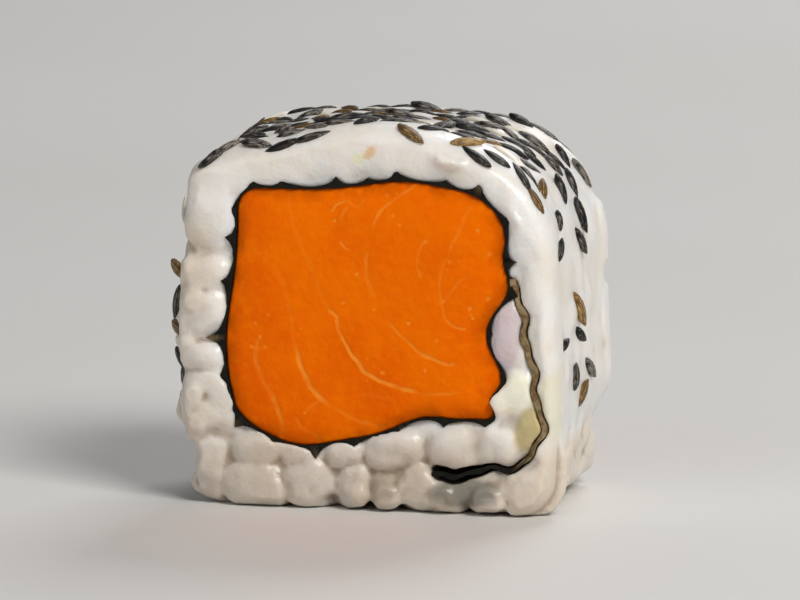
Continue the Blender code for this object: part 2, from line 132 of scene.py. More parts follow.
# Presses that turn the plain outlines into the hand-rolled ones: x, z, push in x, push in z, reach
RICE_PRESSES = (
    (19.0, 10.0, 0.4, 0.0, 6.0),
    (-18.5, 3.0, 1.6, 0.0, 4.2),
    (-18.5, 30.0, 0.6, 0.0, 7.0),
    (-9.0, 36.0, 0.0, -0.5, 4.0),
)
SALMON_PRESSES = (
    (13.9, 17.4, -2.0, 0.0, 3.15),
    (13.9, 10.0, -1.5, 0.0, 2.2),
    (13.9, 21.8, 0.45, 0.0, 1.6),
    (13.9, 24.6, -0.35, 0.0, 1.6),
    (6.3, 7.0, 0.0, 2.3, 4.4),
    (12.5, 7.5, -0.3, 2.0, 3.6),
    (-12.3, 15.5, -1.2, 0.0, 6.5),
    (-12.3, 7.0, 0.2, 1.1, 3.2),
    (-6.0, 7.0, 0.0, -0.8, 3.4),
    (4.0, 30.6, 0.0, 1.1, 5.5),
)

# Cusps of the sheet between the grains that dent it: x, z, and how far it stands out there
CUSPS = (
    (-9.1, 6.4, 0.4),
    (-4.8, 5.4, 1.2),
    (-0.8, 6.0, 0.7),
    (3.0, 8.2, 0.4),
    (7.9, 9.2, 0.7),
    (11.9, 9.5, 0.5),
    (13.6, 13.0, 0.5),
    (12.2, 17.6, 0.4),
    (14.9, 21.6, 0.9),
    (15.0, 24.4, 1.1),
    (14.3, 28.6, 0.8),
    (11.6, 31.6, 1.5),
    (7.9, 32.0, 0.5),
    (3.0, 32.4, 1.0),
    (0.4, 31.9, 0.4),
    (-2.8, 31.9, 0.9),
    (-7.9, 31.5, 0.8),
    (-10.9, 31.0, 0.6),
    (-12.9, 28.6, 0.6),
    (-13.4, 25.9, 1.0),
    (-13.9, 21.6, 1.0),
    (-14.6, 16.1, 1.8),
    (-13.9, 12.6, 0.8),
    (-12.3, 8.0, 1.2),
)

CAMERA_TURN = 15.0
CAMERA_RISE = 8.5

ARC_STEPS = 8
OUTLINE_POINTS = 240
SALMON_POINTS = 240
CLOSE = 0.03  # gap that the fitted pieces keep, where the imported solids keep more
SHEET = 0.2  # thickness of the nori where grains press it to the salmon
CUSP_SHARPNESS = 0.5
RICE_HUG = 0.1  # how far the rice reaches into the sheet, before its skin is softened
HUG = 0.12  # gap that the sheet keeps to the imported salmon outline

# Rice that shows at the front cut: x, z, length, width, lean in degrees, and how far it stands out
FRONT_GRAINS = (
    # left column, from the top corner down
    (-14.4, 31.5, 6.2, 5.2, 45, 0.1),
    (-15.2, 28.2, 8.0, 5.4, 86, 0.15),
    (-15.8, 22.3, 5.8, 3.6, 8, 0.25),
    (-15.9, 18.4, 6.2, 4.3, 28, 0.3),
    (-17.7, 15.6, 2.8, 1.5, 15, 0.1),
    (-15.7, 14.2, 5.2, 2.9, 5, 0.15),
    (-15.6, 11.8, 5.2, 2.8, 5, 0.1),
    (-14.3, 10.9, 3.0, 3.4, 0, 0.1),
    (-16.4, 8.7, 5.0, 3.5, -8, 0.35),
    (-16.9, 6.9, 2.6, 1.8, 0, 0.1),
    (-13.5, 9.2, 3.2, 4.6, 0, 0.0),
    (-15.1, 4.4, 5.2, 3.6, 85, 0.1),
    # bottom rows, going right
    (-10.8, 2.4, 6.6, 4.7, 5, 0.4),
    (-10.2, 5.7, 6.2, 3.9, 10, 0.2),
    (-7.0, 5.6, 4.0, 3.6, 40, 0.05),
    (-5.8, 2.5, 5.4, 4.7, 30, 0.3),
    (-1.9, 5.6, 3.8, 3.2, 20, 0.15),
    (-0.9, 2.9, 3.6, 3.6, 10, 0.15),
    (2.1, 2.5, 3.4, 3.0, 10, -0.2),
    (2.9, 6.1, 6.0, 3.9, 8, 0.4),
    (5.1, 2.7, 4.6, 3.7, 60, 0.3),
    (8.9, 6.5, 5.0, 4.5, -10, 0.4),
    (12.2, 6.9, 4.4, 2.3, 88, 0.15),
    (14.0, 6.8, 3.7, 2.4, 85, 0.25),
    (12.9, 10.9, 3.6, 3.4, 20, 0.35),
    (14.9, 11.9, 4.6, 3.8, 55, 0.4),
    (16.2, 8.4, 4.9, 2.9, 76, -0.1),
    (14.0, 17.3, 7.6, 3.3, 84, 0.1),
    # rice outside the loose end of the sheet
    (10.0, 2.4, 6.6, 2.7, 3, -0.1),
    (7.2, 0.9, 5.2, 2.0, -3, -0.5),
    (12.6, 0.9, 4.4, 1.8, 3, -0.7),
    (17.6, 2.9, 8.8, 5.0, 20, 0.5),
    (18.2, 7.2, 6.4, 3.6, 80, 0.1),
    (18.8, 12.4, 6.6, 3.2, 88, 0.0),
    (18.3, 17.6, 6.8, 3.6, 93, 0.0),
    # right column and top band, pressed smooth
    (17.6, 22.4, 6.6, 4.6, 96, 0.05),
    (16.5, 26.8, 6.6, 5.2, 100, 0.0),
    (15.0, 30.6, 6.6, 5.8, 130, 0.05),
    (11.2, 33.2, 7.4, 6.0, 150, 0.05),
    (6.2, 34.4, 7.4, 6.2, 10, 0.0),
    (1.6, 35.0, 6.4, 6.6, 0, 0.05),
    (-2.8, 34.9, 7.2, 6.8, 0, 0.15),
    (-7.4, 33.9, 7.6, 6.6, 20, 0.1),
    (-11.6, 32.6, 6.4, 6.2, 30, 0.05),
)
FRONT_THICKNESS = 3.6
CUT_RECESS = 0.65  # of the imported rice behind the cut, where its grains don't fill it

# Grains of their own colour at the front cut, and two darker grains of painted shade, the recessed one at x
# 2.1 and the one below the nori's loose end at x 10.0: x, z, length, width, lean, and colour as seen
STAINED_AND_SHADED = (
    (14.9, 11.9, 4.6, 3.8, 55, (240, 226, 202)),
    (12.9, 10.9, 3.6, 3.4, 20, (240, 222, 206)),
    (16.2, 8.5, 4.7, 2.9, 76, (192, 174, 128)),
    (18.8, 10.8, 7.0, 5.0, 80, (222, 211, 188)),
    (14.0, 17.3, 7.6, 3.3, 84, (204, 186, 184)),
    # painted shade: the grain below the loose end of the nori
    (10.0, 2.2, 7.2, 2.9, 3, (152, 148, 137)),
    # painted shade: the recessed grain
    (2.1, 2.5, 3.4, 3.0, 10, (196, 188, 174)),
    (0.7, 34.5, 1.7, 0.9, 50, (224, 190, 152)),
    (-0.4, 33.9, 1.6, 1.1, 20, (224, 216, 186)),
)
LOOSE_SHADE = (0.86, 0.81, 0.75)  # how much of each colour the loose rice keeps, as painted shade down the left side and round the base
FOOT_SHADE = (0.84, 0.82, 0.8)  # how much of each colour the rice keeps at its foot, as painted shade, which fades out as below
FOOT_SHADE_REACH = (15.0, 4.0)
FOOT_SHADE_SIDE = (16.0, 11.0)
STAIN_AND_SHADE_EDGE = (0.7, 1.15)  # where a grain's own colour or painted shade fades out, as shares of its half sizes
STAIN_AND_SHADE_DEPTH = (1.5, 3.5)  # and how far behind the cut
PLAIN_RICE = (226, 217, 206)  # colour as seen of a grain with no colour of its own

# Fat lines of the salmon, as arcs: centre x and z, radius, from and to in degrees, strength, width
FAT_LINES = (
    (-4.2, 17.3, 2.4, 27, 67, 0.7, 0.26),
    (5.0, 19.0, 7.2, -176, -88, 1.0, 0.32),
    (7.2, 22.0, 10.4, -101, -79, 0.5, 0.26),
    (-35.8, 11.8, 29.5, 7, 21, 0.4, 0.26),
    (2.4, 17.1, 9.1, -170, -130, 0.9, 0.32),
    (3.2, 22.2, 13.7, -119, -92, 0.5, 0.28),
    (-4.2, 15.1, 6.3, 166, 205, 0.45, 0.3),
    (-25.7, 3.8, 18.0, 14, 29, 1.0, 0.34),
    (9.4, 23.2, 9.4, 118, 152, 0.65, 0.26),
    (4.1, 23.8, 4.0, 160, 227, 0.65, 0.3),
    (10.0, 22.9, 8.4, -147, -96, 0.7, 0.28),
    (31.8, 16.6, 24.9, 148, 161, 0.55, 0.24),
    (18.4, 22.1, 10.6, 170, 196, 0.4, 0.24),
    (10.3, 20.5, 2.5, -155, -88, 0.6, 0.24),
    (8.6, 23.7, 3.3, 128, 201, 0.5, 0.24),
    (13.9, 17.5, 6.3, 120, 145, 0.35, 0.24),
    (11.2, 33.6, 19.1, -169, -151, 0.35, 0.26),
    (11.6, 29.9, 18.0, -162, -144, 0.25, 0.26),
    (-1.5, 28.2, 1.6, 99, 162, 0.55, 0.22),
    (1.4, 26.8, 3.8, 139, 164, 0.6, 0.22),
    (0.0, 31.3, 2.1, -137, -99, 0.5, 0.22),
    (-3.0, 31.6, 3.4, -42, -22, 0.45, 0.22),
    (-0.3, 26.7, 2.1, -162, -120, 0.45, 0.22),
    (0.0, -1.1, 12.2, 76, 92, 0.35, 0.3),
    (-2.8, 11.2, 4.5, -149, -107, 0.35, 0.26),
    (-2.6, 7.2, 3.6, 113, 140, 0.35, 0.24),
)
# Pale flecks of the salmon in the fat's colour, small painted highlights of its wet cut as well as flecks
# of fat: x and z
FLECKS_AND_GLINTS = (
    (-10.7, 17.8),
    (-9.4, 18.6),
    (-10.9, 15.7),
    (-10.1, 16.7),
    (-9.5, 15.7),
    (-0.7, 23.0),
    (-1.8, 20.2),
    (8.6, 24.3),
    (8.7, 25.8),
    (8.2, 20.6),
    (10.8, 19.9),
    (12.2, 20.9),
    (12.2, 25.2),
    (11.2, 27.6),
    (4.6, 18.4),
    (7.2, 16.9),
    (6.0, 14.1),
    (2.1, 13.3),
    (3.2, 28.4),
    (2.4, 30.7),
    (3.4, 30.9),
    (-2.8, 27.9),
)
FLECK_AND_GLINT_WIDTH = 0.3

# Seeds placed one by one, as seen from the front: x, z, lean, length, width, and kind
FRONT_SEEDS = (
    # along the top, from the left
    (-14.9, 33.3, 35, 3.2, 1.1, "black"),
    (-13.3, 34.5, 31, 3.2, 1.2, "black"),
    (-10.8, 36.2, 23, 3.2, 1.1, "black"),
    (-10.4, 34.9, -10, 4.0, 1.4, "black"),
    (-8.4, 38.0, 17, 3.8, 1.3, "brown"),
    (-7.9, 36.4, 38, 2.8, 1.0, "black"),
    (-5.3, 38.1, 23, 3.2, 1.2, "black"),
    (-1.2, 39.1, 3, 4.0, 1.4, "brown"),
    (-1.4, 38.0, 5, 4.0, 1.1, "black"),
    (0.4, 37.5, 13, 2.8, 1.0, "black"),
    (3.0, 39.7, 2, 4.0, 1.5, "brown"),
    (3.9, 38.4, -16, 4.0, 1.3, "black"),
    (6.5, 39.2, -20, 4.2, 1.6, "black"),
    (4.7, 36.4, -38, 3.9, 1.4, "brown"),
    (7.9, 37.3, 17, 3.7, 1.4, "black"),
    (10.7, 37.3, -12, 3.6, 1.4, "black"),
    (10.3, 35.8, 2, 3.8, 1.3, "brown"),
    (11.1, 39.5, -18, 3.6, 1.1, "black"),
    (13.6, 38.0, -30, 3.8, 1.2, "black"),
    (15.7, 38.3, -32, 3.0, 1.3, "black"),
    (16.9, 36.3, -33, 3.6, 1.2, "black"),
    # down the right side
    (18.7, 34.1, -46, 3.0, 1.2, "black"),
    (19.8, 35.0, -62, 3.0, 1.1, "black"),
    (17.6, 31.6, 88, 3.0, 1.2, "brown"),
    (19.5, 31.8, -72, 3.4, 1.2, "black"),
    (20.6, 32.4, -70, 3.4, 1.1, "black"),
    (21.5, 29.4, -72, 3.8, 1.2, "black"),
    (19.2, 28.7, -80, 2.2, 0.9, "black"),
    (19.3, 25.9, 80, 2.6, 1.0, "black"),
    (21.4, 26.9, -62, 3.4, 1.4, "black"),
    (21.3, 20.3, -69, 4.0, 1.7, "brown"),
    (21.3, 17.9, -42, 2.8, 1.2, "black"),
    (19.7, 16.8, 50, 2.4, 1.0, "black"),
    (22.4, 14.7, -58, 2.8, 1.3, "black"),
    (20.9, 13.8, 86, 2.8, 1.2, "black"),
    (21.6, 12.2, 66, 3.6, 1.3, "brown"),
)
# On the left side, close to the front cut: y, z, lean from the way round the roll, and kind
LEFT_SEEDS = (
    (-9.7, 22.3, 70, "brown"),
    (-9.9, 19.2, -6, "black"),
    (-9.7, 16.6, 75, "brown"),
    (-9.4, 13.6, 55, "black"),
    (-8.2, 11.2, 15, "black"),
    (-4.2, 16.4, 30, "black"),
    (-4.8, 24.6, -15, "black"),
)
# On top, towards the back cut: x, y, lean from the way round the roll, and kind
TOP_SEEDS = (
    (-0.5, 10.4, 60, "pale"),
    (2.0, 10.2, 20, "pale"),
    (11.4, 4.4, 20, "pale"),
)


# Outlines


def rounded_block(left, right, bottom, top, radii):
    """Outline of a block with round corners."""
    corners = ((left, bottom, 180), (right, bottom, 270), (right, top, 0), (left, top, 90))
    points = []
    for (x, z, start), radius in zip(corners, radii):
        centre_x = x + radius if x == left else x - radius
        centre_z = z + radius if z == bottom else z - radius
        for step in range(ARC_STEPS + 1):
            angle = math.radians(start + 90 * step / ARC_STEPS)
            points.append((centre_x + radius * math.cos(angle), centre_z + radius * math.sin(angle)))
    return np.array(points)


def evenly(points, count):
    """The closed outline again, with count points at even steps."""
    closed = np.vstack([points, points[:1]])
    along = np.concatenate([[0.0], np.cumsum(np.linalg.norm(np.diff(closed, axis=0), axis=1))])
    at = np.linspace(0.0, along[-1], count, endpoint=False)
    return np.column_stack([np.interp(at, along, closed[:, axis]) for axis in (0, 1)])


def pressed(points, presses):
    """Pushes the outline in or out round each press, fading with distance."""
    moved = points.copy()
    for x, z, push_x, push_z, reach in presses:
        near = np.exp(-((points[:, 0] - x) ** 2 + (points[:, 1] - z) ** 2) / reach**2)
        moved += near[:, None] * np.array([push_x, push_z])
    return moved


def perimeter(points):
    """Length of a closed outline."""
    return float(np.linalg.norm(np.roll(points, -1, axis=0) - points, axis=1).sum())


def outward(points):
    """Unit normals of a closed outline, pointing out."""
    ahead = np.roll(points, -1, axis=0) - np.roll(points, 1, axis=0)
    ahead /= np.linalg.norm(ahead, axis=1)[:, None]
    return np.column_stack([ahead[:, 1], -ahead[:, 0]])


def ease(share):
    """Smooth step from 0 to 1."""
    share = np.clip(share, 0.0, 1.0)
    return share * share * (3.0 - 2.0 * share)


def between(value, ends):
    """Smooth step from 0 at the first end to 1 at the second."""
    start, stop = ends
    return ease((value - start) / (stop - start))


def rice_outline():
    """Outer outline of the piece: a pressed block with a crowned top and a flat base."""
    points = evenly(rounded_block(-WIDTH / 2, WIDTH / 2, 0.0, SIDE_HEIGHT, RICE_CORNERS), OUTLINE_POINTS)
    lift = between(points[:, 1], (SHOULDER, SIDE_HEIGHT))
    points[:, 1] += CROWN * (1.0 - np.abs(2.0 * points[:, 0] / WIDTH) ** CROWN_ROUND) * lift
    return evenly(pressed(points, RICE_PRESSES), OUTLINE_POINTS)


def looseness(x, z):
    """How loose the rice lies there: 1 down the left side and round the base, 0 where it is smooth."""
    left = between(-x, LOOSE_SIDE) * (1.0 - LOOSE_TOP_LOSS * between(z, LOOSE_TOP))
    return np.maximum(left, between(z, LOOSE_BASE))


def salmon_outline(count):
    """Outline of the salmon block, with the dents that the rice has pressed into it."""
    plain = rounded_block(SALMON_LEFT, SALMON_RIGHT, SALMON_BOTTOM, SALMON_TOP, SALMON_CORNERS)
    return evenly(pressed(evenly(plain, count), SALMON_PRESSES), count)


def cusp_places(salmon):
    """Where each cusp lies round the outline, as a share of its points, going up by more than a turn."""
    places = [float(np.argmin(np.linalg.norm(salmon - (x, z), axis=1))) / len(salmon) for x, z, _ in CUSPS]
    first = places.index(min(places))
    order = places[first:] + places[:first]
    depths = [cusp[2] for cusp in CUSPS]
    return order + [order[0] + 1.0], depths[first:] + depths[: first + 1]


def sheet_edge(count, room=0.0):
    """Outer edge of the nori round the salmon, dented by the grains that lie against it."""
    salmon = salmon_outline(count)
    places, depths = cusp_places(salmon)
    around = (np.arange(count) / count - places[0]) % 1.0 + places[0]
    dent = np.searchsorted(places, around, side="right") - 1
    places, depths = np.array(places), np.array(depths)
    share = (around - places[dent]) / (places[dent + 1] - places[dent])
    cusp = depths[dent] * (1 - share) + depths[dent + 1] * share
    depth = HUG + SHEET + cusp * (1.0 - np.sin(math.pi * share) ** CUSP_SHARPNESS) + room
    return salmon + outward(salmon) * depth[:, None]


TAIL_STEP = 0.4
TAIL_WAVES = ((0.22, 5.3, 0.4), (0.12, 2.7, 1.9))  # height, length and start of the sheet's waves


def tail_path():
    """Middle line of the sheet's loose end: down the right side, round the corner and under the salmon."""
    start, corner, end = (np.array(point) for point in (TAIL_START, TAIL_CORNER, TAIL_END))
    down = (start - corner) / np.linalg.norm(start - corner)
    along = (end - corner) / np.linalg.norm(end - corner)
    opening = math.acos(float(down @ along)) / 2
    run = TAIL_RADIUS / math.tan(opening)
    inner = (down + along) / np.linalg.norm(down + along)
    centre = corner + inner * TAIL_RADIUS / math.sin(opening)
    first, last = corner + down * run - centre, corner + along * run - centre
    swing = math.acos(float(first @ last) / TAIL_RADIUS**2)
    bend = [
        (first * math.sin(swing * (1 - t)) + last * math.sin(swing * t)) / math.sin(swing) + centre
        for t in np.linspace(0, 1, ARC_STEPS + 1)
    ]
    return np.vstack([start, bend, end])


def wavy_tail():
    """The loose end's middle line in short steps, with the waves that the grains press into it."""
    path = tail_path()
    along = np.concatenate([[0.0], np.cumsum(np.linalg.norm(np.diff(path, axis=0), axis=1))])
    at = np.arange(0.0, along[-1], TAIL_STEP)
    fine = np.column_stack([np.interp(at, along, path[:, axis]) for axis in (0, 1)])
    ahead = np.gradient(fine, axis=0)
    ahead /= np.linalg.norm(ahead, axis=1)[:, None]
    wave = sum(height * np.sin(2 * math.pi * at / length + start) for height, length, start in TAIL_WAVES)
    return fine + np.column_stack([ahead[:, 1], -ahead[:, 0]]) * wave[:, None]


def strip(path, widths):
    """Outline of a band along an open path, with its width at each point."""
    ahead = np.gradient(path, axis=0)
    ahead /= np.linalg.norm(ahead, axis=1)[:, None]
    side = np.column_stack([ahead[:, 1], -ahead[:, 0]]) * (np.asarray(widths) / 2)[:, None]
    return np.vstack([path - side, (path + side)[::-1]])


# Meshes


def packed_shift():
    """Where the design frame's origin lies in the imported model, in millimetres, from the salmon's box."""
    low = np.array(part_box("salmon")[0]) / MM
    outline = salmon_outline(PACKED_SALMON_POINTS)
    design = (outline[:, 0].min(), -(LENGTH / 2 - SALMON_INSET + SALMON_DOME), outline[:, 1].min())
    return Vector(low - np.array(design))


def to_packed():
    """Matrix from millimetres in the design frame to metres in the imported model."""
    return Matrix.Scale(MM, 4) @ Matrix.Translation(packed_shift())


def mesh_of(name, shape):
    """A mesh of a finished bmesh, with its faces pointing out."""
    shape.normal_update()
    bmesh.ops.recalc_face_normals(shape, faces=shape.faces)
    mesh = bpy.data.meshes.new(name)
    shape.to_mesh(mesh)
    shape.free()
    return mesh


def lofted(name, loops):
    """A closed mesh through closed loops of (x, y, z) points, with flat ends."""
    shape = bmesh.new()
    rings = [[shape.verts.new(point) for point in loop] for loop in loops]
    for near, far in zip(rings, rings[1:]):
        for index in range(len(near)):
            after = (index + 1) % len(near)
            shape.faces.new((near[index], near[after], far[after], far[index]))
    shape.faces.new(rings[0])
    shape.faces.new(rings[-1])
    return mesh_of(name, shape)


def prism(name, outline, half_length):
    """The outline, run along the roll from -half_length to half_length."""
    return lofted(name, [[(x, y, z) for x, z in outline] for y in (-half_length, half_length)])


def points_of(mesh):
    """The mesh's vertices as an array."""
    flat = np.zeros(len(mesh.vertices) * 3, np.float32)
    mesh.vertices.foreach_get("co", flat)
    return flat.reshape(-1, 3).astype(float)


def normals_of(mesh):
    """The mesh's vertex normals as an array."""
    flat = np.zeros(len(mesh.vertices) * 3, np.float32)
    mesh.vertex_normals.foreach_get("vector", flat)
    return flat.reshape(-1, 3).astype(float)


def move_points(mesh, points):
    """Puts the mesh's vertices at these points."""
    mesh.vertices.foreach_set("co", np.asarray(points, np.float32).ravel())
    mesh.update()


ATTRIBUTE_FIELDS = {
    "FLOAT": "value",
    "FLOAT_VECTOR": "vector",
    "FLOAT_COLOR": "color",
    "QUATERNION": "value",
}


def attribute(mesh, name, kind, values):
    """Gives the mesh one value of this kind at each vertex."""
    made = mesh.attributes.new(name, kind, "POINT")
    made.data.foreach_set(ATTRIBUTE_FIELDS[kind], np.asarray(values, np.float32).ravel())


def linked(name, mesh):
    """An object of the mesh, in the scene."""
    made = bpy.data.objects.new(name, mesh)
    bpy.context.scene.collection.objects.link(made)
    return made


def applied(target):
    """Replaces the object's mesh by what its modifiers make of it."""
    graph = bpy.context.evaluated_depsgraph_get()
    result = bpy.data.meshes.new_from_object(
        target.evaluated_get(graph), preserve_all_data_layers=True, depsgraph=graph
    )
    target.modifiers.clear()
    target.data = result
    return target


def remeshed(target, voxel):
    """One even skin round all the target's overlapping shapes, with its creases softened."""
    remesh = target.modifiers.new("skin", "REMESH")
    remesh.mode = "VOXEL"
    remesh.voxel_size = voxel
    remesh.use_smooth_shade = True
    smooth = target.modifiers.new("soften", "SMOOTH")
    smooth.factor = 0.5
    smooth.iterations = 1
    return applied(target)


def cut(target, tools):
    """Cuts the tools' meshes out of the target, and removes them."""
    group = bpy.data.collections.new("tools")
    bpy.context.scene.collection.children.link(group)
    for tool in tools:
        group.objects.link(bpy.data.objects.new(tool.name, tool))
    modifier = target.modifiers.new("cut", "BOOLEAN")
    modifier.operation = "DIFFERENCE"
    modifier.solver = "MANIFOLD"
    modifier.operand_type = "COLLECTION"
    modifier.collection = group
    applied(target)
    for tool in list(group.objects):
        bpy.data.objects.remove(tool)
    bpy.data.collections.remove(group)


def keep_largest(mesh):
    """Drops loose scraps and fills sealed hollows, so that the mesh is one body."""
    shape = bmesh.new()
    shape.from_mesh(mesh)
    left = set(shape.faces)
    bodies = []
    while left:
        found = {left.pop()}
        front = list(found)
        while front:
            for edge in front.pop().edges:
                for face in edge.link_faces:
                    if face in left:
                        left.discard(face)
                        found.add(face)
                        front.append(face)
        bodies.append(found)
    bodies.sort(key=len)
    for body in bodies[:-1]:
        bmesh.ops.delete(shape, geom=list(body), context="FACES")
    shape.to_mesh(mesh)
    shape.free()


def sloped(mesh):
    """Turns the even roll into the hand-pressed one: its crown and its foot change towards the back."""
    points = points_of(mesh)
    x, y, z = points.T.copy()
    back = y / LENGTH + 0.5
    left, right = (rise * between(side, BACK_RISE_FROM) for rise, side in zip(BACK_RISE, (-x, x)))
    lift = between(z, (SHOULDER, SIDE_HEIGHT + CROWN))
    points[:, 2] -= (BACK_FALL - left - right) * back * lift
    points[:, 0] -= BACK_LEAN * back * between(x, BACK_LEAN_SIDE) * between(z, BACK_LEAN_FOOT)
    move_points(mesh, points)


def finished(name, mesh, material, nodes, on_rice=False):
    """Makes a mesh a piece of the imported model. What lies on the rice has its slope already."""
    if not on_rice:
        sloped(mesh)
    mesh.transform(to_packed())
    mesh.materials.clear()
    mesh.materials.append(material)
    mesh.shade_smooth()
    piece = linked(name, mesh)
    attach(piece, BODY)
    if nodes:
        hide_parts(*nodes)
    return piece


# Geometry trees


def new_tree(name, inputs):
    """A geometry tree with these named inputs after its geometry, and the nodes at its two ends."""
    tree = bpy.data.node_groups.new(name, "GeometryNodeTree")
    tree.is_modifier = True
    tree.interface.new_socket("Geometry", in_out="INPUT", socket_type="NodeSocketGeometry")
    for label, kind in inputs:
        tree.interface.new_socket(label, in_out="INPUT", socket_type="NodeSocket" + kind)
    tree.interface.new_socket("Geometry", in_out="OUTPUT", socket_type="NodeSocketGeometry")
    return tree, tree.nodes.new("NodeGroupInput"), tree.nodes.new("NodeGroupOutput")


def add(tree, kind, **settings):
    """Adds a node of this kind with these settings."""
    node = tree.nodes.new(kind)
    for key, value in settings.items():
        setattr(node, key, value)
    return node


def named(tree, name, kind):
    """The output that reads a named attribute."""
    node = add(tree, "GeometryNodeInputNamedAttribute", data_type=kind)
    node.inputs["Name"].default_value = name
    return node.outputs["Attribute"]


def socket(node, name, kind):
    """The node's enabled input or output with this name and type."""
    for found in list(node.inputs) + list(node.outputs):
        if found.name == name and found.type == kind and found.enabled:
            return found
    raise RuntimeError(f"{node.name} has no {name} of type {kind}")


def finish_tree(tree, start, end, instances):
    """Makes the instances real and gives them the tree's material."""
    real = add(tree, "GeometryNodeRealizeInstances")
    paint = add(tree, "GeometryNodeSetMaterial")
    tree.links.new(instances, real.inputs["Geometry"])
    tree.links.new(real.outputs["Geometry"], paint.inputs["Geometry"])
    tree.links.new(start.outputs["Material"], paint.inputs["Material"])
    tree.links.new(paint.outputs["Geometry"], end.inputs["Geometry"])


def tinted_instances(tree, instances, seed):
    """Stores a random shade from 0 to 1 on each instance."""
    draw = add(tree, "FunctionNodeRandomValue", data_type="FLOAT")
    store = add(tree, "GeometryNodeStoreNamedAttribute", data_type="FLOAT", domain="INSTANCE")
    store.inputs["Name"].default_value = "shade"
    if isinstance(seed, int):
        draw.inputs["Seed"].default_value = seed
    else:
        tree.links.new(seed, draw.inputs["Seed"])
    tree.links.new(instances, store.inputs["Geometry"])
    tree.links.new(socket(draw, "Value", "VALUE"), socket(store, "Value", "VALUE"))
    return store.outputs["Geometry"]


PIECE_INPUTS = (("Piece", "Object"), ("Seed", "Int"), ("Material", "Material"))


def placed_tree():
    """One piece at each point, turned and sized by the point's own attributes."""
    tree, start, end = new_tree("placed pieces", PIECE_INPUTS)
    info = add(tree, "GeometryNodeObjectInfo")
    put = add(tree, "GeometryNodeInstanceOnPoints")
    tree.links.new(start.outputs["Piece"], info.inputs["Object"])
    tree.links.new(start.outputs["Geometry"], put.inputs["Points"])
    tree.links.new(info.outputs["Geometry"], put.inputs["Instance"])
    tree.links.new(named(tree, "turn", "QUATERNION"), put.inputs["Rotation"])
    tree.links.new(named(tree, "size", "FLOAT_VECTOR"), put.inputs["Scale"])
    shaded = tinted_instances(tree, put.outputs["Instances"], start.outputs["Seed"])
    finish_tree(tree, start, end, shaded)
    return tree


def scatter_tree():
    """Pieces all over a surface: lying on it, turned by up to Sway from its way round, and sunk into it."""
    labels = ("Spacing", "Density", "Length", "Width", "Thickness", "Uneven", "Sway", "Sink")
    inputs = PIECE_INPUTS + tuple((label, "Float") for label in labels)
    tree, start, end = new_tree("scattered pieces", inputs)
    link = tree.links.new
    spread = add(tree, "GeometryNodeDistributePointsOnFaces", distribute_method="POISSON")
    link(start.outputs["Geometry"], spread.inputs["Mesh"])
    link(start.outputs["Spacing"], spread.inputs["Distance Min"])
    link(start.outputs["Density"], spread.inputs["Density Max"])
    link(named(tree, "share", "FLOAT"), spread.inputs["Density Factor"])
    link(start.outputs["Seed"], spread.inputs["Seed"])

    up = named(tree, "lie_on", "FLOAT_VECTOR")
    down = add(tree, "ShaderNodeMath", operation="MULTIPLY")
    down.inputs[1].default_value = -1.0
    link(start.outputs["Sink"], down.inputs[0])
    offset = add(tree, "ShaderNodeVectorMath", operation="SCALE")
    link(up, offset.inputs[0])
    link(down.outputs[0], offset.inputs["Scale"])
    moved = add(tree, "GeometryNodeSetPosition")
    link(spread.outputs["Points"], moved.inputs["Geometry"])
    link(offset.outputs[0], moved.inputs["Offset"])

    axes = add(tree, "FunctionNodeAxesToRotation", primary_axis="Z", secondary_axis="X")
    link(up, axes.inputs["Primary Axis"])
    link(named(tree, "round_way", "FLOAT_VECTOR"), axes.inputs["Secondary Axis"])
    swing = add(tree, "FunctionNodeRandomValue", data_type="FLOAT")
    back = add(tree, "ShaderNodeMath", operation="MULTIPLY")
    back.inputs[1].default_value = -1.0
    link(start.outputs["Sway"], back.inputs[0])
    link(back.outputs[0], socket(swing, "Min", "VALUE"))
    link(start.outputs["Sway"], socket(swing, "Max", "VALUE"))
    flip = add(tree, "FunctionNodeRandomValue", data_type="BOOLEAN")
    flip.inputs["Seed"].default_value = 3
    half_turn = add(tree, "ShaderNodeMath", operation="MULTIPLY_ADD")
    link(socket(flip, "Value", "BOOLEAN"), half_turn.inputs[0])
    half_turn.inputs[1].default_value = math.pi
    link(socket(swing, "Value", "VALUE"), half_turn.inputs[2])
    about = add(tree, "ShaderNodeCombineXYZ")
    link(half_turn.outputs[0], about.inputs["Z"])
    euler = add(tree, "FunctionNodeEulerToRotation")
    link(about.outputs[0], euler.inputs["Euler"])
    turned = add(tree, "FunctionNodeRotateRotation", rotation_space="LOCAL")
    link(axes.outputs["Rotation"], turned.inputs["Rotation"])
    link(euler.outputs["Rotation"], turned.inputs["Rotate By"])

    whole = add(tree, "ShaderNodeCombineXYZ")
    for axis, label in zip("XYZ", ("Length", "Width", "Thickness")):
        link(start.outputs[label], whole.inputs[axis])
    less = add(tree, "ShaderNodeMath", operation="SUBTRACT")
    less.inputs[0].default_value = 1.0
    more = add(tree, "ShaderNodeMath", operation="ADD")
    more.inputs[0].default_value = 1.0
    size = add(tree, "FunctionNodeRandomValue", data_type="FLOAT_VECTOR")
    size.inputs["Seed"].default_value = 7
    for node, label in ((less, "Min"), (more, "Max")):
        link(start.outputs["Uneven"], node.inputs[1])
        link(node.outputs[0], socket(size, label, "VECTOR"))
    scale = add(tree, "ShaderNodeVectorMath", operation="MULTIPLY")
    link(whole.outputs[0], scale.inputs[0])
    link(socket(size, "Value", "VECTOR"), scale.inputs[1])

    info = add(tree, "GeometryNodeObjectInfo")
    put = add(tree, "GeometryNodeInstanceOnPoints")
    link(start.outputs["Piece"], info.inputs["Object"])
    link(moved.outputs["Geometry"], put.inputs["Points"])
    link(info.outputs["Geometry"], put.inputs["Instance"])
    link(turned.outputs["Rotation"], put.inputs["Rotation"])
    link(scale.outputs[0], put.inputs["Scale"])
    finish_tree(tree, start, end, tinted_instances(tree, put.outputs["Instances"], 11))
    return tree


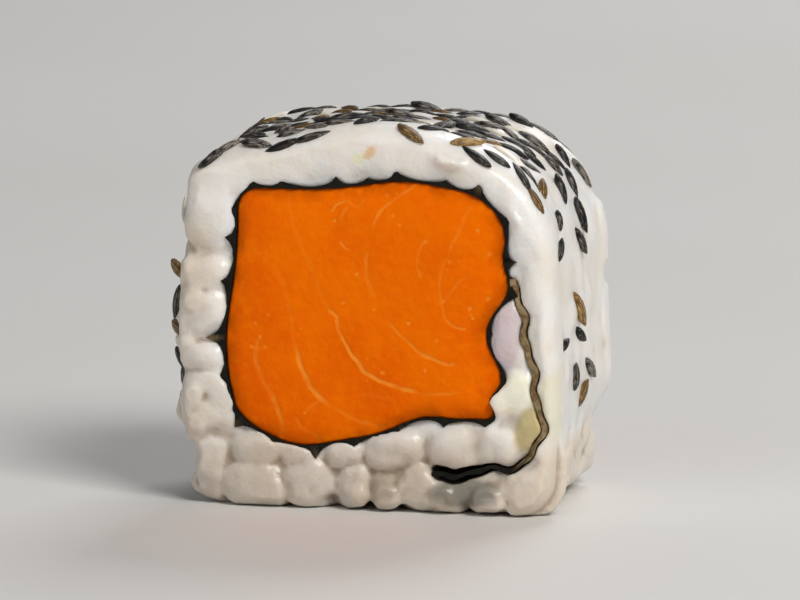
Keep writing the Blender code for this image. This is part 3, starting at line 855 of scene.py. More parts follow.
def grown(tree, host, **values):
    """The plain mesh that a tree makes on a host mesh, with its named inputs set."""
    carrier = linked(tree.name, host)
    modifier = carrier.modifiers.new(tree.name, "NODES")
    modifier.node_group = tree
    for item in tree.interface.items_tree:
        if item.in_out == "INPUT" and item.name in values:
            modifier[item.identifier] = values[item.name]
    mesh = applied(carrier).data
    bpy.data.objects.remove(carrier)
    return mesh


def lying(long_way, up):
    """Turn that lays a piece's X along long_way and its Z along up."""
    long_way = (long_way - up * long_way.dot(up)).normalized()
    across = up.cross(long_way)
    return Matrix((long_way, across, up)).transposed().to_quaternion()


def spots(places):
    """A mesh of points for the placed tree, from (position, turn, size) each."""
    mesh = bpy.data.meshes.new("spots")
    mesh.from_pydata([place[0] for place in places], [], [])
    attribute(mesh, "turn", "QUATERNION", [tuple(place[1]) for place in places])
    attribute(mesh, "size", "FLOAT_VECTOR", [tuple(place[2]) for place in places])
    return mesh


# Materials


def seen(red, green, blue):
    """Linear colour of a colour as it is seen, from 0 to 255."""
    shares = [channel / 255 for channel in (red, green, blue)]
    return tuple(s / 12.92 if s <= 0.04045 else ((s + 0.055) / 1.055) ** 2.4 for s in shares)


def new_material(name):
    """A material of one shader, and what its nodes need."""
    material = bpy.data.materials.new(name)
    material.use_nodes = True
    tree = material.node_tree
    return material, tree, tree.nodes["Principled BSDF"]


def design_place(tree):
    """The place in the design frame, in millimetres, from Object coordinates."""
    where = add(tree, "ShaderNodeTexCoord")
    mapping = add(tree, "ShaderNodeMapping")
    mapping.inputs["Location"].default_value = -packed_shift()
    mapping.inputs["Scale"].default_value = (1 / MM,) * 3
    tree.links.new(where.outputs["Object"], mapping.inputs["Vector"])
    return mapping.outputs["Vector"]


def noise(tree, place, scale, detail=2.0, rough=0.5, stretch=None):
    """A noise pattern from 0 to 1."""
    node = add(tree, "ShaderNodeTexNoise")
    node.inputs["Scale"].default_value = scale
    node.inputs["Detail"].default_value = detail
    node.inputs["Roughness"].default_value = rough
    if stretch:
        mapping = add(tree, "ShaderNodeMapping")
        mapping.inputs["Scale"].default_value = stretch
        tree.links.new(place, mapping.inputs["Vector"])
        place = mapping.outputs["Vector"]
    tree.links.new(place, node.inputs["Vector"])
    return node.outputs["Fac"]


def graded(tree, value, low, high, least=0.0, most=1.0):
    """The value, eased from least at low to most at high."""
    node = add(tree, "ShaderNodeMapRange", interpolation_type="SMOOTHSTEP")
    for label, number in (("From Min", low), ("From Max", high), ("To Min", least), ("To Max", most)):
        node.inputs[label].default_value = number
    tree.links.new(value, node.inputs["Value"])
    return node.outputs["Result"]


def reckon(tree, operation, first, second=None, third=None):
    """One sum on values or outputs."""
    node = add(tree, "ShaderNodeMath", operation=operation)
    for index, value in enumerate((first, second, third)):
        if value is None:
            continue
        if isinstance(value, (int, float)):
            node.inputs[index].default_value = value
        else:
            tree.links.new(value, node.inputs[index])
    return node.outputs[0]


def mixed(tree, share, first, second, blend="MIX"):
    """Two colours mixed by a share, each a colour or an output."""
    node = add(tree, "ShaderNodeMix", data_type="RGBA", blend_type=blend)
    for place, value in ((socket(node, "A", "RGBA"), first), (socket(node, "B", "RGBA"), second)):
        if isinstance(value, bpy.types.NodeSocket):
            tree.links.new(value, place)
        else:
            place.default_value = (*value, 1.0)
    factor = socket(node, "Factor", "VALUE")
    if isinstance(share, (int, float)):
        factor.default_value = share
    else:
        tree.links.new(share, factor)
    return socket(node, "Result", "RGBA")


def own(tree, name, output):
    """An output of the piece's own attribute."""
    node = add(tree, "ShaderNodeAttribute", attribute_name=name)
    return node.outputs[output]


def bumped(tree, height, distance):
    """A normal for a height pattern, with its height in metres."""
    node = add(tree, "ShaderNodeBump")
    node.inputs["Distance"].default_value = distance
    node.inputs["Strength"].default_value = 1.0
    tree.links.new(height, node.inputs["Height"])
    return node.outputs["Normal"]


def set_inputs(shader, **values):
    """Sets the shader's own sockets, with _ for a space in their names."""
    for key, value in values.items():
        shader.inputs[key.replace("_", " ")].default_value = value


def rice_material(looks):
    """Cooked rice: milky and moist, with painted shade in its creases, darker and warmer, and a tint that
    holds the stains of single grains and painted shade.
    """
    material, tree, shader = new_material("steamed rice")
    place = design_place(tree)
    colour = mixed(tree, graded(tree, noise(tree, place, 0.16), 0.35, 0.65), looks.rice, looks.rice_warm)
    spots_share = graded(tree, noise(tree, place, 0.9, 3.0), 0.5, 0.75, 0.0, 0.3)
    colour = mixed(tree, spots_share, colour, looks.rice_bright)
    # painted shade: the rice darkens and warms towards the crease colour in its creases
    creases = graded(tree, own(tree, "crease", "Fac"), 0.0, 1.0, 0.0, 0.8)
    colour = mixed(tree, creases, colour, looks.rice_crease_shade)
    # the tint holds the grains' own stains and painted shade
    colour = mixed(tree, 1.0, colour, own(tree, "stain", "Color"), "MULTIPLY")
    tree.links.new(colour, shader.inputs["Base Color"])
    rough = graded(tree, noise(tree, place, 0.7, 3.0), 0.3, 0.7, 0.28, 0.45)
    tree.links.new(rough, shader.inputs["Roughness"])
    fine = reckon(tree, "MULTIPLY", noise(tree, place, 4.0), 0.25)
    height = reckon(tree, "ADD", noise(tree, place, 1.1, 3.0), fine)
    tree.links.new(bumped(tree, height, 0.00012), shader.inputs["Normal"])
    set_inputs(
        shader,
        Subsurface_Weight=0.7,
        Subsurface_Radius=(1.0, 0.8, 0.62),
        Subsurface_Scale=0.0012,
        Coat_Weight=0.25,
        Coat_Roughness=0.18,
        IOR=1.4,
    )
    return material


def fat_line_group():
    """Node group: how much of a fat line lies at a place, the line being an arc seen from the front."""
    group = bpy.data.node_groups.new("fat line", "ShaderNodeTree")
    for label, kind in (
        ("Place", "Vector"),
        ("Centre", "Vector"),
        ("Middle Way", "Vector"),
        ("Radius", "Float"),
        ("End", "Float"),
        ("Width", "Float"),
        ("Strength", "Float"),
    ):
        group.interface.new_socket(label, in_out="INPUT", socket_type="NodeSocket" + kind)
    group.interface.new_socket("Share", in_out="OUTPUT", socket_type="NodeSocketFloat")
    start = add(group, "NodeGroupInput")
    end = add(group, "NodeGroupOutput")
    link = group.links.new
    away = add(group, "ShaderNodeVectorMath", operation="SUBTRACT")
    link(start.outputs["Place"], away.inputs[0])
    link(start.outputs["Centre"], away.inputs[1])
    flat = add(group, "ShaderNodeVectorMath", operation="MULTIPLY")
    flat.inputs[1].default_value = (1.0, 0.0, 1.0)
    link(away.outputs[0], flat.inputs[0])
    length = add(group, "ShaderNodeVectorMath", operation="LENGTH")
    link(flat.outputs[0], length.inputs[0])
    off = reckon(group, "SUBTRACT", length.outputs["Value"], start.outputs["Radius"])
    share = reckon(group, "DIVIDE", reckon(group, "ABSOLUTE", off), start.outputs["Width"])
    line = graded(group, share, 0.25, 1.0, 1.0, 0.0)
    way = add(group, "ShaderNodeVectorMath", operation="NORMALIZE")
    link(flat.outputs[0], way.inputs[0])
    facing = add(group, "ShaderNodeVectorMath", operation="DOT_PRODUCT")
    link(way.outputs[0], facing.inputs[0])
    link(start.outputs["Middle Way"], facing.inputs[1])
    inside = reckon(group, "SUBTRACT", facing.outputs["Value"], start.outputs["End"])
    window = graded(group, inside, -0.02, 0.03)
    link(
        reckon(group, "MULTIPLY", reckon(group, "MULTIPLY", line, window), start.outputs["Strength"]),
        end.inputs["Share"],
    )
    return group


def salmon_material(looks):
    """Raw salmon: orange flesh with soft mottling, curved fat lines, pale flecks that are painted
    highlights as well as fat, and painted shade along its rim next to the nori.
    """
    material, tree, shader = new_material("raw salmon")
    place = design_place(tree)
    wobble = add(tree, "ShaderNodeTexNoise")
    wobble.inputs["Scale"].default_value = 0.22
    tree.links.new(place, wobble.inputs["Vector"])
    centred = add(tree, "ShaderNodeVectorMath", operation="SUBTRACT")
    centred.inputs[1].default_value = (0.5, 0.5, 0.5)
    tree.links.new(wobble.outputs["Color"], centred.inputs[0])
    warped = add(tree, "ShaderNodeVectorMath", operation="MULTIPLY_ADD")
    warped.inputs[1].default_value = (1.6, 1.6, 1.6)
    tree.links.new(centred.outputs[0], warped.inputs[0])
    tree.links.new(place, warped.inputs[2])
    uneven = graded(tree, noise(tree, place, 0.5, 3.0), 0.3, 0.7, 0.35, 1.0)
    group = fat_line_group()
    lines = None
    # the listed flecks, painted highlights as well as flecks of fat, drawn as dots
    fleck_and_glint_dots = tuple((x, z, 0.0, -180, 180, 0.8, FLECK_AND_GLINT_WIDTH) for x, z in FLECKS_AND_GLINTS)
    for x, z, radius, start, stop, strength, width in FAT_LINES + fleck_and_glint_dots:
        line = add(tree, "ShaderNodeGroup", node_tree=group)
        middle, half = math.radians((start + stop) / 2), math.radians((stop - start) / 2)
        tree.links.new(warped.outputs[0], line.inputs["Place"])
        line.inputs["Centre"].default_value = (x, 0.0, z)
        line.inputs["Middle Way"].default_value = (math.cos(middle), 0.0, math.sin(middle))
        line.inputs["Radius"].default_value = radius
        line.inputs["End"].default_value = math.cos(half) - (0.1 if half > 3 else 0.0)
        line.inputs["Width"].default_value = width
        line.inputs["Strength"].default_value = strength
        lines = line.outputs[0] if lines is None else reckon(tree, "MAXIMUM", lines, line.outputs[0])
    lines = reckon(tree, "MULTIPLY", lines, uneven)
    patches = graded(tree, noise(tree, place, 0.13, 2.0), 0.35, 0.7)
    colour = mixed(tree, patches, looks.flesh, looks.flesh_deep)
    fibres = noise(tree, warped.outputs[0], 1.0, 4.0, 0.6)
    colour = mixed(tree, graded(tree, fibres, 0.45, 0.75, 0.0, 0.35), colour, looks.flesh_light)
    colour = mixed(tree, reckon(tree, "MULTIPLY", lines, 0.75), colour, looks.fat)
    # pale flecks at random: small painted highlights as well as flecks of fat
    cells = add(tree, "ShaderNodeTexVoronoi")
    cells.inputs["Scale"].default_value = 0.75
    tree.links.new(place, cells.inputs["Vector"])
    near = graded(tree, cells.outputs["Distance"], 0.06, 0.16, 1.0, 0.0)
    some = graded(tree, noise(tree, place, 0.22, 2.0), 0.52, 0.62)
    flecks = reckon(tree, "MULTIPLY", near, some)
    colour = mixed(tree, reckon(tree, "MULTIPLY", flecks, 0.6), colour, looks.fat)
    # painted shade along the rim next to the nori, broken up by noise
    broken = graded(tree, noise(tree, place, 0.35, 3.0), 0.35, 0.6)
    rim = reckon(tree, "MULTIPLY", own(tree, "rim", "Fac"), broken)
    colour = mixed(tree, reckon(tree, "MULTIPLY", rim, 0.6), colour, looks.flesh_rim_shade)
    tree.links.new(colour, shader.inputs["Base Color"])
    rough = graded(tree, noise(tree, place, 0.8, 3.0), 0.3, 0.7, 0.36, 0.52)
    tree.links.new(rough, shader.inputs["Roughness"])
    height = reckon(tree, "SUBTRACT", noise(tree, place, 1.2, 4.0), reckon(tree, "MULTIPLY", lines, 0.5))
    tree.links.new(bumped(tree, height, 0.00015), shader.inputs["Normal"])
    set_inputs(
        shader,
        Subsurface_Weight=0.35,
        Subsurface_Radius=(1.0, 0.35, 0.12),
        Subsurface_Scale=0.0012,
        Specular_IOR_Level=0.12,
        Specular_Tint=(1.0, 0.6, 0.2, 1.0),
    )
    return material


def nori_material(looks):
    """Moist nori: near black in the folds, and olive brown with painted light where its loose end comes out
    of the shade and where the sheet stands out from the salmon.
    """
    material, tree, shader = new_material("moist nori")
    place = design_place(tree)
    mottled = graded(tree, noise(tree, place, 1.1, 4.0, 0.6), 0.35, 0.65)
    dark = mixed(tree, mottled, looks.nori, looks.nori_green)
    lit = mixed(tree, mottled, looks.nori_lit, looks.nori_lit_olive)
    tree.links.new(mixed(tree, own(tree, "lit", "Fac"), dark, lit), shader.inputs["Base Color"])
    tree.links.new(graded(tree, mottled, 0.0, 1.0, 0.35, 0.6), shader.inputs["Roughness"])
    tree.links.new(bumped(tree, noise(tree, place, 3.0, 4.0), 0.0001), shader.inputs["Normal"])
    set_inputs(shader, Specular_IOR_Level=0.16)
    return material


def seed_material(name, dark, light, edge):
    """A sesame seed with painted highlights striped along its length, each seed a little lighter or darker
    at random.
    """
    material, tree, shader = new_material(name)
    along = own(tree, "lengthwise", "Vector")
    streaks = noise(tree, along, 1.0, 3.0, 0.6, (1.2, 5.0, 5.0))
    parts = add(tree, "ShaderNodeSeparateXYZ")
    tree.links.new(along, parts.inputs[0])
    side = reckon(tree, "ABSOLUTE", parts.outputs["Y"])
    shade = own(tree, "shade", "Fac")
    shift = reckon(tree, "MULTIPLY_ADD", shade, 0.16, streaks)
    # painted highlights: pale streaks along the seed
    highlight_stripe = graded(tree, shift, 0.6, 0.7)
    colour = mixed(tree, reckon(tree, "MULTIPLY", highlight_stripe, 0.8), dark, light)
    colour = mixed(tree, graded(tree, side, 0.62, 0.95, 0.0, 0.6), colour, edge)
    lightness = add(tree, "ShaderNodeHueSaturation")
    tree.links.new(graded(tree, shade, 0.0, 1.0, 0.7, 1.15), lightness.inputs["Value"])
    tree.links.new(colour, lightness.inputs["Color"])
    tree.links.new(lightness.outputs["Color"], shader.inputs["Base Color"])
    tree.links.new(graded(tree, streaks, 0.3, 0.7, 0.32, 0.5), shader.inputs["Roughness"])
    tree.links.new(bumped(tree, streaks, 0.00008), shader.inputs["Normal"])
    set_inputs(shader, Specular_IOR_Level=0.3, Coat_Weight=0.05, Coat_Roughness=0.2)
    return material


# Rice

GRAIN_ROUND = 2.3  # of whole grains, and of the grains that the knife has cut
CUT_GRAIN_ROUND = 3.0
BASE_LIFT = 1.1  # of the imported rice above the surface, which only its grains touch
CORE_RIM = ((0.0, 0.975), (0.5, 0.99), (1.2, 1.0))  # depths behind the cut, and the core's size there
CHAIN_SINK = 0.2  # of the grains along the nori, towards it
CHAIN_LEAN = 0.3
CHAIN_WIDTH = (1.1, 1.3)  # shares of the room that each has
CHAIN_PROUD = (-0.05, 0.35)
SKIN_STEP = 0.8
SKIN_INSET = 2.0
TIGHT_SHARE = 0.45  # of the grains that are laid where the rice is pressed
SAG = (0.72, 0.92)  # shares of the loose end's way between which its slot widens
SAG_ROOM = 0.8
RICE_TRIANGLES = 190000
CREASE_STEPS = 6
DEEP_CREASE = 0.12


def grain_mesh(roundness):
    """A plump grain of size 1, its length along X: round at a roundness of 2, and boxier above."""
    shape = bmesh.new()
    bmesh.ops.create_uvsphere(shape, u_segments=24, v_segments=16, radius=1.0)
    for vertex in shape.verts:
        power = sum(abs(side) ** roundness for side in vertex.co) ** (1 / roundness)
        vertex.co *= 0.5 / power
    shape.transform(Matrix.Rotation(math.pi / 2, 4, "Y"))
    return mesh_of("grain", shape)


def relief(x, z, tight, loose):
    """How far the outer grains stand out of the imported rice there."""
    return tight + (loose - tight) * looseness(x, z)


def core_mesh(tight, loose):
    """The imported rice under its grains."""
    points = rice_outline()
    inside = points - outward(points) * relief(points[:, 0], points[:, 1], tight, loose)[:, None]
    inside[:, 1] = np.maximum(inside[:, 1], BASE_LIFT)
    middle = inside.mean(axis=0)
    end = LENGTH / 2 - CUT_RECESS
    near = [(depth - end, share) for depth, share in CORE_RIM]
    far = [(-y, share) for y, share in reversed(near)]
    return lofted(
        "core", [[(x, y, z) for x, z in middle + (inside - middle) * share] for y, share in near + far]
    )


def front_places():
    """The grains at the front cut, as points for the placed tree."""
    places = []
    for x, z, length, width, lean, proud in FRONT_GRAINS:
        angle = math.radians(lean)
        turn = lying(Vector((math.cos(angle), 0.0, math.sin(angle))), Vector((0, -1, 0)))
        y = -LENGTH / 2 + FRONT_THICKNESS / 2 - proud
        places.append((Vector((x, y, z)), turn, (length, width, FRONT_THICKNESS)))
    return places


def band_from(skin, foot, way):
    """Thickness of the rice from a point on the nori outwards."""
    offsets = skin - foot
    along = offsets @ way
    aside = np.abs(offsets @ np.array([-way[1], way[0]]))
    ahead = along > 0
    return float(along[ahead][np.argmin(aside[ahead])])


def chain_places(side, seed):
    """Grains along the nori at one cut face, and a second row where the rice is thick."""
    draw = random.Random(seed)
    inner = sheet_edge(OUTLINE_POINTS, GAP)
    normals = outward(salmon_outline(OUTLINE_POINTS))
    ends = cusp_places(salmon_outline(OUTLINE_POINTS))[0]
    skin = rice_outline()
    places = []
    for start, stop in zip(ends, ends[1:]):
        middle = int((start + stop) / 2 * OUTLINE_POINTS) % OUTLINE_POINTS
        foot, way = inner[middle], normals[middle]
        band = band_from(skin, foot, way)
        rows = 1 if band < WIDE_BAND else 2
        for row in range(rows):
            spot = foot + way * (band * (row + 0.5) / rows - CHAIN_SINK)
            lean = draw.uniform(-CHAIN_LEAN, CHAIN_LEAN)
            long_way = Vector((way[0] - way[1] * lean, 0.0, way[1] + way[0] * lean))
            width = (stop - start) * perimeter(inner) * draw.uniform(*CHAIN_WIDTH)
            proud = draw.uniform(*CHAIN_PROUD)
            centre = Vector((spot[0], side * (LENGTH / 2 - FRONT_THICKNESS / 2 + proud), spot[1]))
            size = (1.15 * band / rows + 0.6, width, FRONT_THICKNESS)
            places.append((centre, lying(long_way, Vector((0, side, 0))), size))
    return places


def skin_mesh():
    """The rolled surface as a sheet, with what the scatter needs to lay grains on it."""
    outline = rice_outline()
    normals = outward(outline)
    half = LENGTH / 2 - SKIN_INSET
    steps = np.arange(-half, half + SKIN_STEP / 2, SKIN_STEP)
    count = len(outline)
    points = [(x, y, z) for y in steps for x, z in outline]
    faces = []
    for near in range(0, (len(steps) - 1) * count, count):
        for index in range(count):
            after = (index + 1) % count
            faces.append((near + index, near + after, near + count + after, near + count + index))
    mesh = bpy.data.meshes.new("skin")
    mesh.from_pydata(points, [], faces)
    rows = len(steps)
    attribute(mesh, "lie_on", "FLOAT_VECTOR", [(x, 0.0, z) for _ in range(rows) for x, z in normals])
    attribute(mesh, "round_way", "FLOAT_VECTOR", [(-z, 0.0, x) for _ in range(rows) for x, z in normals])
    share = TIGHT_SHARE + (1 - TIGHT_SHARE) * looseness(outline[:, 0], outline[:, 1])
    attribute(mesh, "share", "FLOAT", np.tile(share, rows))
    return mesh


def slot_outline():
    """Room in the rice for the sheet's loose end, wider where the rice has sagged away under the salmon."""
    path = wavy_tail()
    wide = between(np.arange(len(path)) / len(path), SAG)
    return strip(path, TAIL + GAP + SAG_ROOM * wide)


def joined(meshes):
    """One mesh of several, as they are."""
    shape = bmesh.new()
    for mesh in meshes:
        shape.from_mesh(mesh)
    result = bpy.data.meshes.new("joined")
    shape.to_mesh(result)
    shape.free()
    return result


def edge_ends(mesh):
    """Both directions of each edge, as pairs of vertex numbers."""
    edges = np.zeros(len(mesh.edges) * 2, np.int32)
    mesh.edges.foreach_get("vertices", edges)
    edges = edges.reshape(-1, 2)
    return np.concatenate([edges, edges[:, ::-1]])


def neighbour_mean(points, ends):
    """The middle of each point's neighbours."""
    count = len(points)
    degree = np.maximum(np.bincount(ends[:, 0], minlength=count), 1)[:, None]
    sums = [np.bincount(ends[:, 0], weights=points[ends[:, 1], axis], minlength=count) for axis in range(3)]
    return np.column_stack(sums) / degree


def crease_depth(mesh):
    """How deep each vertex lies in a crease: its depth below the smoothed surface, from 0 to 1."""
    points = points_of(mesh)
    ends = edge_ends(mesh)
    smooth = points
    for _ in range(CREASE_STEPS):
        smooth = neighbour_mean(smooth, ends)
    below = ((smooth - points) * normals_of(mesh)).sum(axis=1)
    return np.clip(below / DEEP_CREASE, 0.0, 1.0)


def stain_and_shade_tints(points):
    """Tint of each vertex: white, but for painted shade on the loose rice and at its foot, and for the
    stained grains and the painted shade of two grains at the front cut.
    """
    tints = np.ones((len(points), 4))
    # painted shade on the loose rice, down the left side and round the base
    tints[:, :3] -= looseness(points[:, 0], points[:, 2])[:, None] * (1.0 - np.array(LOOSE_SHADE))
    # painted shade at the foot of the rice, fading out upwards and towards the right side
    low = between(points[:, 2], FOOT_SHADE_REACH) * between(points[:, 0], FOOT_SHADE_SIDE)
    tints[:, :3] *= 1 - low[:, None] * (1.0 - np.array(FOOT_SHADE))
    behind = points[:, 1] + LENGTH / 2
    for x, z, length, width, lean, colour in STAINED_AND_SHADED:
        angle = math.radians(lean)
        offset = points[:, (0, 2)] - (x, z)
        along = offset @ (math.cos(angle), math.sin(angle)) / (length / 2)
        across = offset @ (-math.sin(angle), math.cos(angle)) / (width / 2)
        reach = np.sqrt(along**2 + across**2)
        share = (1 - between(reach, STAIN_AND_SHADE_EDGE)) * (1 - between(behind, STAIN_AND_SHADE_DEPTH))
        tint = np.array(seen(*colour)) / np.array(seen(*PLAIN_RICE))
        tints[:, :3] *= 1 - share[:, None] * (1 - tint)
    return tints


LUMPS = ((2.4, 0.7), (0.9, 0.22))  # size and height of the bumps that keep grains from looking turned
PRESS_STEPS = 24
PRESS_MOST = 0.6  # share of the way to its neighbours' middle that a point goes in a step
PRESS_AT_CUT = 0.55
FRONT_PROUD = 0.5
BACK_PROUD = 0.35
RIM_ROUND = (1.9, 1.6, 5.0)  # how far the rims round off: down, along the roll at the sides, and on top
RIM_LOOSE = 0.4  # share of the rounding down that is left where the rice is loose
RIM_TOP = (0.5, 0.95)  # upward parts of the normal between which the rims grow long
PRESS_CUT = (1.0, 4.5)  # depths behind a cut face between which the pressing is full
STANDS_OUT = (0.08, 0.95)  # most that grains stand out of the outline: pressed, and loose


def roughen(target):
    """Low bumps all over the rice, in two sizes."""
    for size, height in LUMPS:
        texture = bpy.data.textures.new("lumps", "CLOUDS")
        texture.noise_scale = size
        texture.noise_depth = 1
        modifier = target.modifiers.new("lumps", "DISPLACE")
        modifier.texture = texture
        modifier.texture_coords = "LOCAL"
        modifier.strength = height
        modifier.mid_level = 0.5
    applied(target)


def press_smooth(mesh):
    """Smooths the rice where it is pressed, and pushes back what stands out of the roll's outline."""
    points = points_of(mesh)
    ends = edge_ends(mesh)
    tight = 1.0 - looseness(points[:, 0], points[:, 2])
    depth = LENGTH / 2 - np.abs(points[:, 1])
    share = PRESS_MOST * tight * (PRESS_AT_CUT + (1 - PRESS_AT_CUT) * between(depth, PRESS_CUT))
    share = share[:, None]
    for _ in range(PRESS_STEPS):
        points += (neighbour_mean(points, ends) - points) * share
    roll, depth = nearest_normals(points)
    pressed_out, loose_out = STANDS_OUT
    most = pressed_out + (loose_out - pressed_out) * (1.0 - tight)
    extra = np.maximum(-depth - most, 0.0)
    points[:, (0, 2)] -= roll * extra[:, None]
    half = LENGTH / 2 + np.where(points[:, 1] < 0, FRONT_PROUD, BACK_PROUD)
    points[:, 1] = np.clip(points[:, 1], -half, half)
    round_rims(points, tight)
    move_points(mesh, points)


def round_rims(points, tight):
    """Rounds the rims between the rolled surface and the cut faces, longest along the top."""
    roll, depth = nearest_normals(points)
    low, long_low, long_top = RIM_ROUND
    down = low * (RIM_LOOSE + (1 - RIM_LOOSE) * tight)
    along = long_low + (long_top - long_low) * between(roll[:, 1], RIM_TOP) * tight
    inwards = 1.0 - depth / down
    backwards = 1.0 - (LENGTH / 2 - np.abs(points[:, 1])) / along
    reach = np.hypot(inwards, backwards)
    less = np.where((inwards > 0) & (backwards > 0) & (reach > 1.0), 1.0 - 1.0 / reach, 0.0)
    points[:, (0, 2)] -= roll * (down * inwards * less)[:, None]
    points[:, 1] -= np.sign(points[:, 1]) * along * backwards * less


def make_rice(sizes, looks):
    """Builds the rice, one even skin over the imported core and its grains, cleared for the nori."""
    voxel = sizes.rice_fineness / MM * 1.0
    tight, loose = sizes.relief_tight / MM, sizes.relief_loose / MM
    piece = linked("grain", grain_mesh(GRAIN_ROUND))
    cut_piece = linked("cut_grain", grain_mesh(CUT_GRAIN_ROUND))
    material = rice_material(looks)
    placed = placed_tree()
    front = grown(placed, spots(front_places()), Piece=cut_piece, Seed=1, Material=material)
    back = grown(placed, spots(chain_places(1, 34)), Piece=cut_piece, Seed=2, Material=material)
    outer = grown(
        scatter_tree(),
        skin_mesh(),
        Piece=piece,
        Seed=sizes.grain_seed,
        Material=material,
        Spacing=sizes.grain_spacing / MM,
        Density=4.0,
        Length=sizes.grain_length / MM,
        Width=sizes.grain_width / MM,
        Thickness=sizes.grain_width / MM,
        Uneven=0.12,
        Sway=math.radians(80),
        Sink=sizes.grain_width / MM * 0.5 - 0.05,
    )
    bpy.data.objects.remove(piece)
    bpy.data.objects.remove(cut_piece)
    rice = linked("rice_blank", joined([core_mesh(tight, loose), front, back, outer]))
    remeshed(rice, voxel)
    roughen(rice)
    press_smooth(rice.data)
    room = prism("room", sheet_edge(OUTLINE_POINTS, -RICE_HUG), LENGTH)
    slot = prism("slot", slot_outline(), LENGTH)
    board = prism("board", rounded_block(-WIDTH, WIDTH, -WIDTH, 0.0, (1.0,) * 4), LENGTH)
    cut(rice, [room, slot, board])
    remeshed(rice, voxel)
    faces = len(rice.data.polygons) * 2
    if faces > RICE_TRIANGLES:
        fewer = rice.modifiers.new("fewer", "DECIMATE")
        fewer.ratio = RICE_TRIANGLES / faces
        applied(rice)
    mesh = rice.data
    bpy.data.objects.remove(rice)
    keep_largest(mesh)
    points = points_of(mesh)
    points[:, 2] = np.maximum(points[:, 2], 0.0)
    move_points(mesh, points)
    # painted shade: crease depth darkens the rice in its creases
    attribute(mesh, "crease", "FLOAT", crease_depth(mesh))
    # the grains' own stains, and painted shade on loose and low rice and on two grains
    attribute(mesh, "stain", "FLOAT_COLOR", stain_and_shade_tints(points))
    return finished("packed_rice", mesh, material, ("rice",))


# Salmon

SALMON_RINGS = (1.0, 0.985, 0.965, 0.93, 0.88, 0.82, 0.75, 0.67, 0.58, 0.49, 0.4, 0.3, 0.2, 0.1)
SALMON_RIM_SHADE = (1.8, 0.0)  # distances from its outline between which the painted shade along its rim fades in


def make_salmon(looks):
    """Builds the salmon block, its cut faces softly swollen and uneven."""
    outline = salmon_outline(SALMON_POINTS)
    outline += outward(outline) * (HUG - CLOSE)
    middle = outline.mean(axis=0)
    half = LENGTH / 2 - SALMON_INSET
    loops = []
    for side, rings in ((-1, SALMON_RINGS[::-1]), (1, SALMON_RINGS)):
        for share in rings:
            ring = middle + (outline - middle) * share
            rise = SALMON_DOME * (1 - 2 * share**8)
            flat = 1 - share**6
            loops.append([(x, side * (half + rise + face_ripple(x, z) * flat), z) for x, z in ring])
    mesh = lofted("salmon", loops)
    places = points_of(mesh)
    # painted shade along the rim of the cut faces
    apart = [np.min(np.linalg.norm(outline - (x, z), axis=1)) for x, _, z in places]
    attribute(mesh, "rim", "FLOAT", between(np.array(apart), SALMON_RIM_SHADE))
    return finished("salmon_block", mesh, salmon_material(looks), ("salmon",))


def face_ripple(x, z):
    """Low waves of the cut salmon, in millimetres, never above its dome."""
    return -0.06 + 0.03 * math.sin(0.9 * x + 0.5 * z) + 0.03 * math.sin(1.7 * z - 0.6 * x + 1.0)


# Nori

TAIL_SHADE = (4.6, 6.4)  # heights between which the loose end comes out of the shade
TAIL_THIN = 0.2  # share of its thickness that the loose end gains and loses in waves
TAIL_RAGGED = 0.12  # depth of its uneven cut edges
RING_SHADE = (1.3, 2.2)  # distances from the salmon between which the sheet is lit
RING_LIT = 0.8  # most of that light
RING_RAGGED = (-0.25, 0.05)


def make_nori(looks):
    """Builds the sheet round the salmon and its loose end, with rough cut edges."""
    half = LENGTH / 2 - NORI_INSET
    ring = ring_mesh(half)
    path = wavy_tail()
    widths = TAIL * (1 - TAIL_THIN + TAIL_THIN * np.sin(np.arange(len(path)) * 0.9))
    tail = prism("tail", strip(path, widths), half)
    points = points_of(tail)
    points[:, 1] += np.sign(points[:, 1]) * TAIL_RAGGED * (np.sin(points[:, 2] * 2.3) - 1)
    move_points(tail, points)
    lit_tail = between(points[:, 2], TAIL_SHADE)
    count = len(ring.vertices)
    mesh = joined([ring, tail])
    lit = np.concatenate([np.zeros(count), lit_tail])
    points = points_of(mesh)
    salmon = salmon_outline(OUTLINE_POINTS)
    nearest = np.array([np.min(np.linalg.norm(salmon - (x, z), axis=1)) for x, _, z in points[:count]])
    start, stop = RING_SHADE
    lit[:count] = np.clip((nearest - start) / (stop - start), 0.0, RING_LIT)
    # painted light: where the sheet turns olive brown
    attribute(mesh, "lit", "FLOAT", lit)
    piece = finished("nori_sheet", mesh, nori_material(looks), ("nori",))
    mesh.set_sharp_from_angle(angle=math.radians(50))
    return piece


def ring_mesh(half):
    """The sheet where it goes round the salmon, its two edges a little ragged."""
    outer = sheet_edge(OUTLINE_POINTS)
    salmon = salmon_outline(OUTLINE_POINTS)
    inner = salmon + outward(salmon) * HUG
    shape = bmesh.new()
    draw = random.Random(8)
    ragged = [draw.uniform(*RING_RAGGED) for _ in range(OUTLINE_POINTS)]
    loops = []
    for side, edge in ((-1, outer), (1, outer), (1, inner), (-1, inner)):
        loops.append([shape.verts.new((x, side * (half + ragged[i]), z)) for i, (x, z) in enumerate(edge)])
    for near, far in zip(loops, loops[1:] + loops[:1]):
        for index in range(OUTLINE_POINTS):
            after = (index + 1) % OUTLINE_POINTS
            shape.faces.new((near[index], near[after], far[after], far[index]))
    return mesh_of("ring", shape)


# Sesame seeds

